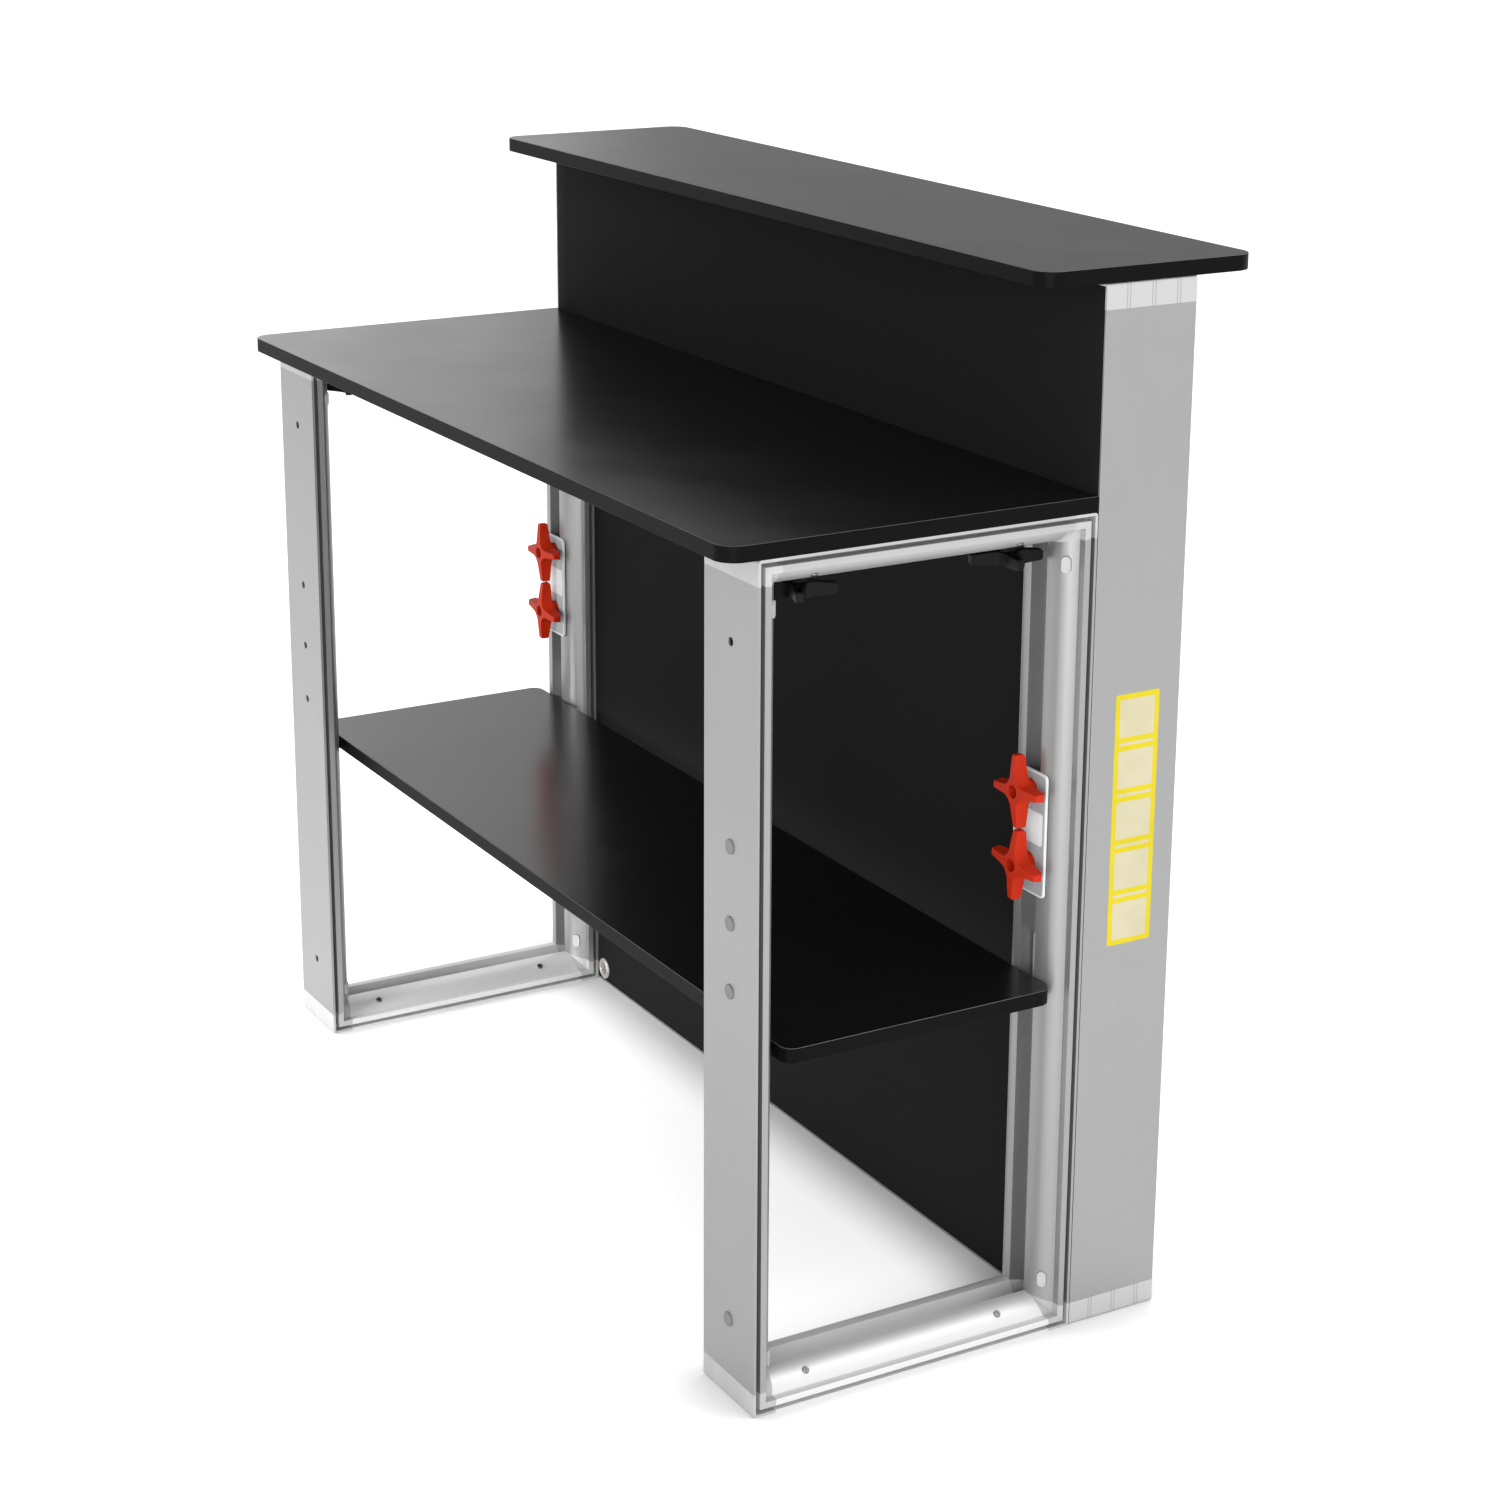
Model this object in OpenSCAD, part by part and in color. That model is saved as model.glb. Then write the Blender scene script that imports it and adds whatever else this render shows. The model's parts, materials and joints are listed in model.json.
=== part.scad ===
// Counter for a shop, bar or stand: a tall lit box carries the narrow bar top on the public side,
// and two open side frames behind it carry the worktop and the shelf on the operator's side.
// +Z is up, the public side faces -Y, the operator stands on the +Y side.
// The origin is on the floor, at the centre of the counter's outline.

/* [Overall] */
// Width of the counter from one end face to the other
counter_w = 1160; // [800:10:2000]
// Height of the bar top's upper face above the floor
counter_h = 1100; // [1000:5:1250]
// Height of the worktop's upper face above the floor
worktop_h = 880; // [760:5:950]
// Height of the shelf's upper face above the floor
shelf_h = 381; // [200:1:400]

/* [Boards] */
// Thickness of the bar top, the worktop and the shelf
board_t = 16; // [12:1:25]
// How far the bar top stands out over the lit box, front and back
bar_over = 72; // [10:1:110]
// How far the worktop stands out over the side frames, on the operator's side
worktop_over = 35; // [5:1:80]
// Radius of the corners of the bar top and of the worktop
board_r = 22; // [2:1:30]
// Radius of the corners of the shelf
shelf_r = 14; // [2:1:20]
// Gap between the shelf and the posts beside it
shelf_gap = 2.5; // [1:0.5:6]

/* [Frames] */
// Depth of the lit box, from its front face to its back face
box_d = 106; // [95:1:140]
// Width of a side frame's profiles
frame_w = 100; // [95:1:130]
// Depth of a side frame, from the lit box to the operator's face
frame_d = 375; // [320:5:500]
// Length of a corner moulding along each outer edge
corner_l = 25; // [22:1:30]
// Radius of a corner moulding's outer corner
corner_r = 3.5; // [1:0.5:5]
// Length of a corner moulding's tongues inside the profiles
tongue_l = 75; // [60:1:90]

/* [Profile] */
// Thickness of the profiles' walls
wall_t = 2; // [1.6:0.1:2.4]
// Thickness of the outer lip beside the textile groove
lip_t = 2.8; // [2.4:0.1:3.2]
// Width of the textile groove
groove_w = 4.6; // [4:0.1:5]
// Depth of the textile groove
groove_d = 12; // [10:0.5:14]
// Thickness of the inner rib beside the textile groove
rib_t = 2.6; // [2:0.1:3]
// Height of the profile, from its outer face to the top of its curved walls
hump_h = 31; // [29:0.5:34]
// Radius of the profile's curved walls
hump_r = 26; // [24:0.5:28]
// Width of the flat land on top of each curved wall
land_w = 4; // [3:0.5:5]
// Depth of the central channel
channel_d = 17; // [12:0.5:18]

/* [Clamps] */
// Height of the middle between the two clamp knobs of a plate above the floor
clamp_h = 537.5; // [515:0.5:600]
// Gap between the arm tips of the two clamp knobs of a plate
knob_gap = 2; // [1:0.5:8]
// Width of a clamp plate
plate_w = 54; // [44:1:80]
// How far a clamp plate reaches above the axis of its upper knob
plate_over = 20.5; // [16:0.5:40]
// How far a clamp plate reaches below the axis of its lower knob
plate_under = 31.5; // [26:0.5:45]
// Thickness of a clamp plate at its rim
plate_t = 2.5; // [2:0.5:6]
// Gap between a worktop knob's arm tips and the post beside it
top_knob_gap = 2.5; // [1:0.5:20]
// Radius of a knob, to the tips of its arms
knob_r = 37.5; // [32:0.5:37.5]
// Height of a knob, from its seat to its front face
knob_h = 22.5; // [20:0.5:30]
// Diameter of the knobs' studs
stud_d = 7.9; // [6:0.1:8]
// Depth to which a knob's stud enters its threaded seat
stud_in = 9; // [6:0.5:10]

/* [Locks and holes] */
// Distance from a post's end to the middle of its lock button
button_at = 52; // [46:1:54]
// Length of a lock button's oval head
button_l = 17; // [12:0.5:20]
// Width of a lock button's oval head
button_w = 9.5; // [7:0.5:10.5]
// Height by which a lock button stands out of the profile
button_out = 1.8; // [0.8:0.1:2.4]
// Distance from a rail's end at the lit box to its fixing screw
screw_at_box = 78; // [60:1:80]
// Distance from a rail's end on the operator's side to its fixing screw
screw_at_user = 69; // [60:1:80]
// Diameter of the bolt holes along the posts
hole_d = 9; // [8:0.5:11]
// Height of the lowest bolt hole above the floor
low_hole_h = 84.5; // [70:0.5:120]
// Distance from a post's top to its highest bolt hole
top_hole_drop = 88; // [80:1:140]
// Diameter of the caps that close the bolt holes
cap_d = 15; // [13:0.5:18]

/* [Textiles and light] */
// Thickness of the stretched textiles
textile_t = 1; // [0.5:0.1:1.5]
// Distance from the power socket's centre to the far end face
socket_at = 118; // [118:1:300]
// Height of the power socket's centre above the floor
socket_h = 20; // [19:0.5:22]
// Diameter of the power socket's flange
socket_d = 27; // [22:0.5:27]

/* [Hidden] */
$fn = 96;
overrun = 1;
// Clearance between pieces that slide into one another by hand
slip = 0.3;
// Radial clearance between a stud and its threaded seat
thread_gap = 0.05;
// Gap left under a knob's seat
seat_gap = 0.1;

// Heights of the two frames
box_h = counter_h - board_t;
frame_h = worktop_h - board_t;
// The back face of the lit box, with the origin at the centre of the outline
depth_all = bar_over + box_d + textile_t + frame_d + worktop_over;
back_y = bar_over + box_d - depth_all / 2;
near_x = -counter_w / 2;
far_x = counter_w / 2 - frame_w;
frame_y = back_y + textile_t;

// The profile's section: u runs across its width, v inwards from its outer face
rim_v = lip_t + groove_w + rib_t;
hump_cu = hump_r + 7 * land_w / 4;
hump_cv = hump_h - hump_r;
channel_u = hump_cu + land_w;
floor_v = hump_h - channel_d;
// How far a corner moulding reaches along the top of the curved walls
reach = hump_h;

// Lock buttons: their angle round the curved wall, their shoulder and travel
button_a = 48;
shoulder = 1;
shoulder_t = 4.7;
button_travel = 4;
button_top = hump_r + button_out;
shoulder_top = hump_r - wall_t - 1.3;
shoulder_bottom = shoulder_top - shoulder_t;

// Fixing screws of the rails
screw_a = 52;
screw_d = 3.8;
screw_head_d = 7.4;
screw_head_t = 1.6;
screw_l = 14;

// Knobs: the boss behind the arms, the flat round the front hole and the fall of the arms' fronts
boss_r = 10.8;
hub_r = 10.5;
hub_hole_r = 6.8;
hub_hole_t = 12;
crown_t = 2.6;
// Arms: front half width at the tip, taper and draft of the flanks, depths and roundings
arm_half_w = 2.9;
arm_taper_a = 5;
arm_draft_a = 8;
arm_root_t = 15;
arm_tip_t = 10;
arm_tip_r = 2;
arm_tip_over = 0.6;
arm_edge = 1.2;
arm_fillet_r = 12.6;
// Cored backs of the arms: the slot's width, its distance from the axis and the front wall left
core_w = 4;
core_at = 16;
core_wall = 3;
core_front_t = 6.5;
stud_end = 2.5;
clamp_pitch = 2 * knob_r + knob_gap;
plate_h = clamp_pitch + plate_over + plate_under;
top_knob_inset = hump_h + knob_r + top_knob_gap;
// Bolt holes along a post, from the floor up
shelf_hole_h = shelf_h + 49 / 16 * board_t;
clamp_hs = [clamp_h - clamp_pitch / 2, clamp_h + clamp_pitch / 2];
post_holes = [low_hole_h, shelf_hole_h, clamp_hs[0], clamp_hs[1], frame_h - top_hole_drop];

// Turn of a knob's arms about its axis, at rest
knob_turns = [4, -5, 12, 28];
plate_pocket = 1;
plate_rim = 2;
plate_r = 5;
// Screws of a clamp plate, below the axes of its knobs
plate_hole_d = 3;
plate_hole_drop = 18.5;

// Anchors inside the lit box that take the clamp knobs' studs
anchor_t = 12;
anchor_leg_t = 4;
anchor_side = 14;
anchor_l = 130;

// Threaded inserts in the worktop
insert_d = 12;
insert_l = 12;

// Shelf brackets
bracket_t = 2.5;
bracket_w = 20;
bracket_r = 6;
bracket_foot = 50;
bracket_top = 38;
bracket_end = shelf_h + bracket_top;
// Bolts of a bracket: their drop below its top end, their heads, and the shanks' reach into the post
bolt_drops = [7.5, 34.5];
bolt_d = 3.9;
bolt_head_d = 7;
bolt_head_t = 2.2;
bolt_l = 5;

// Lamp bars and power supply inside the lit box
lamp_w = 20;
lamp_t = 8;
lamp_end = 70;
supply_w = 180;
supply_d = 48;
supply_t = 32;
supply_at = 420;

// Power socket
socket_body_d = 17;
socket_l = 26;
socket_flange_t = 2;
socket_bore_d = 13;
socket_bore_l = 14;
socket_pin_d = 2.5;

// Caps on the bolt holes
cap_t = 1.5;
cap_stem_l = 5;

// Puts a piece into the lit box's own frame: u runs from the back face to the front
module in_box() {
    translate([near_x, back_y, 0])
        rotate([0, 0, -90])
            children();
}

// Puts a piece into a side frame's own frame: u runs across it, from the near end
module in_frame(far) {
    translate([far ? far_x : near_x, frame_y, 0])
        children();
}

// Turns a piece of a frame's first corner over to the other end of its length or height
module flip(over_y, y, over_z, z) {
    translate([0, over_y ? y : 0, over_z ? z : 0])
        mirror(over_y ? [0, 1, 0] : [0, 0, 0])
            mirror(over_z ? [0, 0, 1] : [0, 0, 0])
                children();
}

// Copies a half of the section to both sides of a profile of width w
module both_sides(w) {
    children();
    translate([w, 0])
        mirror([1, 0])
            children();
}

// One half of the section without its hollows
module half_outline() {
    square([hump_cu, rim_v]);
    intersection() {
        translate([hump_cu, hump_cv])
            circle(r = hump_r);
        square([hump_cu, hump_h]);
    }
    translate([hump_cu, 0])
        square([land_w, hump_h]);
}

// The section without its hollows and grooves
module filled_section(w) {
    both_sides(w)
        half_outline();
    square([w, floor_v]);
}

// The hollow of one curved wall, drawn in by gap on every side
module half_hollow(gap) {
    left = groove_d + wall_t + gap;
    intersection() {
        translate([hump_cu, hump_cv])
            circle(r = hump_r - wall_t - gap);
        union() {
            translate([left, wall_t + gap])
                square([hump_cu - left, hump_h]);
            translate([0, rim_v + gap])
                square([hump_cu, hump_h]);
        }
    }
    translate([hump_cu, wall_t + gap])
        square([land_w - wall_t - gap, hump_h - 2 * (wall_t + gap)]);
}

// The section of every profile: two textile grooves, two curved hollow walls and a channel
module section(w) {
    difference() {
        filled_section(w);
        both_sides(w) {
            half_hollow(0);
            translate([-overrun, lip_t])
                square([groove_d + overrun, groove_w]);
        }
        translate([channel_u, wall_t])
            square([w - 2 * channel_u, floor_v - 2 * wall_t]);
    }
}

// Lies on a frame's first corner: the area that the moulding fills, across its two legs
module corner_outline() {
    difference() {
        polygon([[0, 0], [corner_l, 0], [corner_l, rim_v], [reach, reach],
            [rim_v, corner_l], [0, corner_l]]);
        difference() {
            square(corner_r);
            translate([corner_r, corner_r])
                circle(r = corner_r);
        }
    }
}

// Extrudes an outline of (y, z) along x
module along_x(l) {
    rotate([90, 0, 90])
        linear_extrude(l)
            children();
}

// Stands a section upright, as in a post, from z0 up
module upright(z0, l) {
    translate([0, 0, z0])
        linear_extrude(l)
            children();
}

// Lays a section down, as in a rail, from y0 on
module lying(y0, l) {
    translate([0, y0, 0])
        mirror([0, 1, 0])
            rotate([90, 0, 0])
                linear_extrude(l)
                    children();
}

// Puts a piece on the curved wall: its z axis points out of the wall, its x axis along the post
module on_wall(at, a) {
    translate([hump_cu, hump_cv, at])
        rotate([0, 0, 180 - a])
            rotate([0, 90, 0])
                children();
}

// A bar with round ends, lying on its axis
module oval(l, w, h) {
    for (s = [-1, 1])
        translate([s * (l - w) / 2, 0, 0])
            cylinder(d = w, h = h);
    translate([-(l - w) / 2, -w / 2, 0])
        cube([l - w, w, h]);
}

// The moulding of a frame's first corner, with its tongues
module corner_piece(w, locks, screw_z) {
    difference() {
        union() {
            intersection() {
                union() {
                    upright(0, reach)
                        filled_section(w);
                    lying(0, reach)
                        filled_section(w);
                }
                along_x(w)
                    corner_outline();
            }
            upright(corner_l / 2, tongue_l + corner_l / 2)
                both_sides(w)
                    half_hollow(slip);
            lying(corner_l / 2, tongue_l + corner_l / 2)
                both_sides(w)
                    half_hollow(slip);
        }
        for (u = [-overrun, w - groove_d])
            translate([u, lip_t, lip_t]) {
                cube([groove_d + overrun, groove_w, reach]);
                cube([groove_d + overrun, reach, groove_w]);
            }
        if (locks) {
            on_wall(button_at, button_a)
                translate([0, 0, shoulder_bottom - button_travel - slip])
                    oval(button_l + 2 * (shoulder + slip), button_w + 2 * (shoulder + slip), hump_r);
            mirror([0, 1, -1])
                on_wall(screw_z, screw_a)
                    translate([0, 0, hump_r - screw_l])
                        cylinder(d = screw_d + thread_gap, h = screw_l);
        }
    }
}

// The ends of a profile of length l, where the corner mouldings take its place
module bar_ends(w, l) {
    for (end = [0, 1])
        flip(false, 0, end == 1, l)
            translate([-overrun, 0, 0])
                along_x(w + 2 * overrun)
                    polygon([[-overrun, -overrun], [-overrun, corner_l], [rim_v, corner_l],
                        [reach, reach], [reach + overrun, reach], [reach + overrun, -overrun]]);
}

// A profile of length l between two corners, standing, with its ends shaped to the mouldings
module bar(w, l) {
    difference() {
        upright(overrun, l - 2 * overrun)
            section(w);
        bar_ends(w, l);
    }
}

// A side frame's post, with its bolt holes, its bracket's bores and its lock buttons' openings
module post() {
    difference() {
        bar(frame_w, frame_h);
        for (z = post_holes)
            translate([frame_w / 2, -overrun, z])
                rotate([-90, 0, 0])
                    cylinder(d = hole_d, h = floor_v + 2 * overrun);
        for (drop = bolt_drops)
            translate([frame_w / 2, floor_v - wall_t - overrun, bracket_end - drop])
                rotate([-90, 0, 0])
                    cylinder(d = bolt_d + 2 * thread_gap, h = wall_t + 2 * overrun);
        for (z = [button_at, frame_h - button_at])
            on_wall(z, button_a)
                translate([0, 0, shoulder_top])
                    oval(button_l + 2 * slip, button_w + 2 * slip, hump_r);
    }
}

// Stands for a rail: the same profile, with the holes of its screws and of the studs
module rail(studs) {
    difference() {
        bar(frame_w, frame_d);
        for (z = [screw_at_box, frame_d - screw_at_user])
            on_wall(z, screw_a)
                translate([0, 0, hump_r - 2 * wall_t])
                    cylinder(d = screw_d + 2 * thread_gap, h = 4 * wall_t);
        if (studs)
            for (z = [top_knob_inset, frame_d - top_knob_inset])
                translate([frame_w / 2, -overrun, z])
                    rotate([-90, 0, 0])
                        cylinder(d = hole_d, h = floor_v + 2 * overrun);
    }
}

// Lays a standing profile down along a frame's length
module lay() {
    mirror([0, 1, -1])
        children();
}

module frame_post(far, user) {
    color("#c4c4c4")
        in_frame(far)
            flip(user, frame_d, false, 0)
                post();
}

module frame_rail(far, top) {
    color("#c8c8c8")
        in_frame(far)
            flip(false, 0, top, frame_h)
                lay()
                    rail(top);
}

module frame_corner(far, user, top) {
    color("#d4d4d4")
        in_frame(far)
            flip(user, frame_d, top, frame_h)
                corner_piece(frame_w, true, user ? screw_at_user : screw_at_box);
}

module box_post(far) {
    color("#c4c4c4")
        in_box()
            flip(far, counter_w, false, 0)
                bar(box_d, box_h);
}

module box_corner(far, top) {
    color("#d4d4d4")
        in_box()
            flip(far, counter_w, top, box_h)
                corner_piece(box_d, false, 0);
}

module box_rail_top() {
    color("#c8c8c8")
        in_box()
            flip(false, 0, true, box_h)
                lay()
                    bar(box_d, counter_w);
}

module box_rail_bottom() {
    color("#c8c8c8")
        in_box()
            difference() {
                lay()
                    bar(box_d, counter_w);
                translate([-overrun, counter_w - socket_at, socket_h])
                    rotate([0, 90, 0])
                        cylinder(d = socket_body_d + 2 * slip, h = socket_l + 2 * overrun);
            }
}

// A stretched textile with its edge strip in the grooves of the lit box, lying on the back face
module textile() {
    inner = lip_t + groove_w;
    along = counter_w - 2 * (lip_t + slip);
    up = box_h - 2 * (lip_t + slip);
    difference() {
        translate([-textile_t, lip_t + slip, lip_t + slip])
            cube([textile_t + groove_d - slip, along, up]);
        translate([0, inner - slip, inner - slip])
            cube([groove_d + overrun, counter_w - 2 * (inner - slip), box_h - 2 * (inner - slip)]);
    }
}

module back_textile() {
    color("#1c1c1c")
        in_box()
            difference() {
                textile();
                for (y = [frame_w / 2, counter_w - frame_w / 2], z = clamp_hs)
                    translate([-textile_t - overrun, y, z])
                        rotate([0, 90, 0])
                            cylinder(d = hole_d, h = textile_t + 2 * overrun);
                translate([-textile_t - overrun, counter_w - socket_at, socket_h])
                    rotate([0, 90, 0])
                        cylinder(d = socket_body_d + 2 * slip, h = textile_t + 2 * overrun);
            }
}

module front_textile() {
    color("#f4f4f0")
        in_box()
            translate([box_d, 0, 0])
                mirror([1, 0, 0])
                    textile();
}

// Lamp bars in the channels of the two posts, shining inwards
module lamp_bars() {
    color("#e8e8e0")
        in_box()
            for (far = [false, true])
                flip(far, counter_w, false, 0)
                    translate([(box_d - lamp_w) / 2, floor_v, tongue_l + lamp_end])
                        cube([lamp_w, lamp_t, box_h - 2 * (tongue_l + lamp_end)]);
}

module power_supply() {
    color("#b8b8b8")
        in_box()
            translate([(box_d - supply_d) / 2, counter_w - supply_at - supply_w, hump_h])
                cube([supply_d, supply_w, supply_t]);
}

module power_socket() {
    pins = [-1, 1];
    color("#9a9a9a")
        in_box()
            translate([-textile_t, counter_w - socket_at, socket_h])
                rotate([0, 90, 0]) {
                    difference() {
                        union() {
                            translate([0, 0, -socket_flange_t])
                                cylinder(d = socket_d, h = socket_flange_t);
                            translate([0, 0, -socket_flange_t])
                                cylinder(d = socket_body_d, h = socket_flange_t + socket_l);
                        }
                        translate([0, 0, -socket_flange_t - overrun])
                            cylinder(d = socket_bore_d, h = socket_bore_l + overrun);
                    }
                    for (s = pins)
                        translate([0, s * socket_bore_d / 3, 0])
                            cylinder(d = socket_pin_d, h = socket_bore_l - socket_flange_t + overrun);
                }
}

// A bracket on the lit box's post, with the threaded bores for the clamp knobs' studs
module anchor(far) {
    color("#a8a8a8")
        in_box()
            flip(far, counter_w, false, 0)
                difference() {
                    translate([0, 0, clamp_h - anchor_l / 2])
                        union() {
                            translate([0, hump_h, 0])
                                cube([anchor_t, frame_w / 2 + anchor_side - hump_h, anchor_l]);
                            translate([0, hump_h, 0])
                                cube([box_d - channel_u - slip, anchor_leg_t, anchor_l]);
                            for (u = [channel_u + slip, box_d - channel_u - slip - anchor_leg_t])
                                translate([u, floor_v, 0])
                                    cube([anchor_leg_t, channel_d + anchor_leg_t / 2, anchor_l]);
                        }
                    for (z = clamp_hs)
                        translate([-overrun, frame_w / 2, z])
                            rotate([0, 90, 0])
                                cylinder(d = stud_d + 2 * thread_gap, h = anchor_t + 2 * overrun);
                }
}

// A plate across a post's channel, under the two clamp knobs, with a raised rim
module clamp_plate(far) {
    color("#ececec")
        in_frame(far)
            translate([frame_w / 2, hump_h, clamp_h])
                rotate([-90, 0, 0])
                    difference() {
                        translate([0, (plate_under - plate_over) / 2, 0])
                            difference() {
                                rounded_plate(plate_w, plate_h, plate_t, plate_r);
                                translate([0, 0, plate_t - plate_pocket])
                                    rounded_plate(plate_w - 2 * plate_rim, plate_h - 2 * plate_rim,
                                        plate_t, plate_r - plate_rim / 2);
                            }
                        for (s = [-1, 1]) {
                            translate([0, s * clamp_pitch / 2, -overrun])
                                cylinder(d = hole_d, h = plate_t + 2 * overrun);
                            translate([0, s * clamp_pitch / 2 + plate_hole_drop, -overrun])
                                cylinder(d = plate_hole_d, h = plate_t + 2 * overrun);
                        }
                    }
}

// A plate with round corners, centred on its axis
module rounded_plate(x, y, t, r) {
    translate([-x / 2 + r, -y / 2, 0])
        cube([x - 2 * r, y, t]);
    translate([-x / 2, -y / 2 + r, 0])
        cube([x, y - 2 * r, t]);
    for (sx = [-1, 1], sy = [-1, 1])
        translate([sx * (x / 2 - r), sy * (y / 2 - r), 0])
            cylinder(r = r, h = t);
}

// Points of an arc about c, from angle a0 to a1 in n steps
function arc(c, r, a0, a1, n) = [for (i = [0 : n])
    let (a = a0 + (a1 - a0) * i / n) c + r * [cos(a), sin(a)]];

// A quarter of a knob's front outline, grown by d, from an arm's tip round the fillet to the next tip
function quarter_outline(d) = let (
        tip = [knob_r + arm_tip_over - arm_tip_r, arm_half_w - arm_tip_r],
        edge = tip + arm_tip_r * [sin(arm_taper_a), cos(arm_taper_a)],
        slope = tan(arm_taper_a),
        c = (arm_fillet_r / cos(arm_taper_a) + edge[1] + slope * edge[0]) / (1 + slope)
    ) concat(
        arc(tip, arm_tip_r + d, 0, 90 - arm_taper_a, 3),
        arc([c, c], arm_fillet_r - d, 270 - arm_taper_a, 180 + arm_taper_a, 10),
        arc([tip[1], tip[0]], arm_tip_r + d, arm_taper_a, 90, 3));

// The whole outline at height z, where the draft of the flanks has grown it
function ring(z) = [for (a = [0 : 90 : 270], p = quarter_outline(-z * tan(arm_draft_a)))
    [p[0] * cos(a) - p[1] * sin(a), p[0] * sin(a) + p[1] * cos(a), z]];

// The drafted star of the arms, from above their front faces to below their backs
module star() {
    front = ring(overrun);
    back = ring(-arm_root_t - overrun);
    n = len(front);
    polyhedron(concat(front, back), concat(
        [[for (i = [n - 1 : -1 : 0]) i], [for (i = [n : 2 * n - 1]) i]],
        [for (i = [0 : n - 1]) [i, (i + 1) % n, (i + 1) % n + n, i + n]]));
}

// The turned body that the arms are cut from: crowned in front, falling to the boss at the back
module turned_body() {
    fall = (arm_root_t - crown_t - arm_tip_t) / (knob_r - arm_edge - boss_r);
    rotate_extrude()
        polygon([[0, 0], [hub_r, 0], [knob_r - arm_edge, -crown_t], [knob_r, -crown_t - arm_edge],
            [knob_r, arm_edge - crown_t - arm_tip_t], [knob_r - arm_edge, -crown_t - arm_tip_t],
            [boss_r / 2, -arm_root_t - fall * boss_r / 2], [0, -arm_root_t - fall * boss_r / 2]]);
}

// The four arms of a knob with their cored backs, their front faces up to z = 0
module knob_arms() {
    difference() {
        intersection() {
            star();
            turned_body();
        }
        for (a = [0 : 90 : 270])
            rotate([0, 0, a])
                translate([(core_at + knob_r - core_wall) / 2, 0, -arm_root_t - overrun])
                    oval(knob_r - core_wall - core_at, core_w, arm_root_t + overrun - core_front_t);
    }
}

// A knob with four arms and its stud, from its seat outwards along z
module knob(turn, stud_l) {
    difference() {
        union() {
            translate([0, 0, knob_h])
                rotate([0, 0, turn])
                    knob_arms();
            cylinder(r = boss_r, h = knob_h - arm_root_t / 2);
        }
        translate([0, 0, knob_h - hub_hole_t])
            cylinder(r = hub_hole_r, h = hub_hole_t + overrun);
    }
    translate([0, 0, -stud_l])
        cylinder(d = stud_d, h = stud_l + knob_h - hub_hole_t + stud_end);
}

module clamp_knob(far, high) {
    seat = hump_h + plate_t - plate_pocket + seat_gap;
    color("#d63a20")
        in_frame(far)
            translate([frame_w / 2, seat, clamp_hs[high ? 1 : 0]])
                rotate([-90, 0, 0])
                    knob(knob_turns[high ? 0 : 1], seat + textile_t + stud_in);
}

module top_knob(far, user) {
    seat = hump_h + seat_gap;
    color("#1c1c1c")
        in_frame(far)
            translate([frame_w / 2, user ? frame_d - top_knob_inset : top_knob_inset, frame_h - seat])
                rotate([180, 0, 0])
                    knob(knob_turns[user ? 3 : 2], seat + stud_in);
}

// Rounds the two corners of a board on one side, or all four
module board(x0, x1, y0, y1, z, r, r_back) {
    translate([0, 0, z])
        difference() {
            translate([x0, y0, 0])
                cube([x1 - x0, y1 - y0, board_t]);
            for (far = [false, true], back = r_back > 0 ? [false, true] : [true])
                board_corner(far ? x1 : x0, back ? y1 : y0, far ? 1 : -1, back ? 1 : -1, r);
        }
}

// What a round corner of radius r takes off a board
module board_corner(x, y, sx, sy, r) {
    translate([x - sx * r, y - sy * r, -overrun])
        difference() {
            translate([sx > 0 ? 0 : -r - overrun, sy > 0 ? 0 : -r - overrun, 0])
                cube([r + overrun, r + overrun, board_t + 2 * overrun]);
            translate([0, 0, -overrun])
                cylinder(r = r, h = board_t + 4 * overrun);
        }
}

module bar_top() {
    color("#2c2c2c")
        board(near_x, -near_x, back_y - box_d - bar_over, back_y + bar_over, box_h, board_r, board_r);
}

module worktop() {
    color("#262626")
        difference() {
            board(near_x, -near_x, frame_y, frame_y + frame_d + worktop_over, frame_h, board_r, 0);
            insert_places()
                translate([0, 0, -overrun])
                    cylinder(d = insert_d, h = insert_l + overrun);
        }
}

// The places of the worktop's threaded inserts
module insert_places() {
    for (far = [false, true], y = [top_knob_inset, frame_d - top_knob_inset])
        in_frame(far)
            translate([frame_w / 2, y, frame_h])
                children();
}

module worktop_inserts() {
    color("#b08d45")
        insert_places()
            difference() {
                cylinder(d = insert_d, h = insert_l);
                translate([0, 0, -overrun])
                    cylinder(d = stud_d + 2 * thread_gap, h = insert_l - overrun);
            }
}

module shelf() {
    color("#262626")
        board(near_x, -near_x, frame_y + hump_h + shelf_gap, frame_y + frame_d - hump_h - shelf_gap,
            shelf_h - board_t, shelf_r, shelf_r);
}

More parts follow.
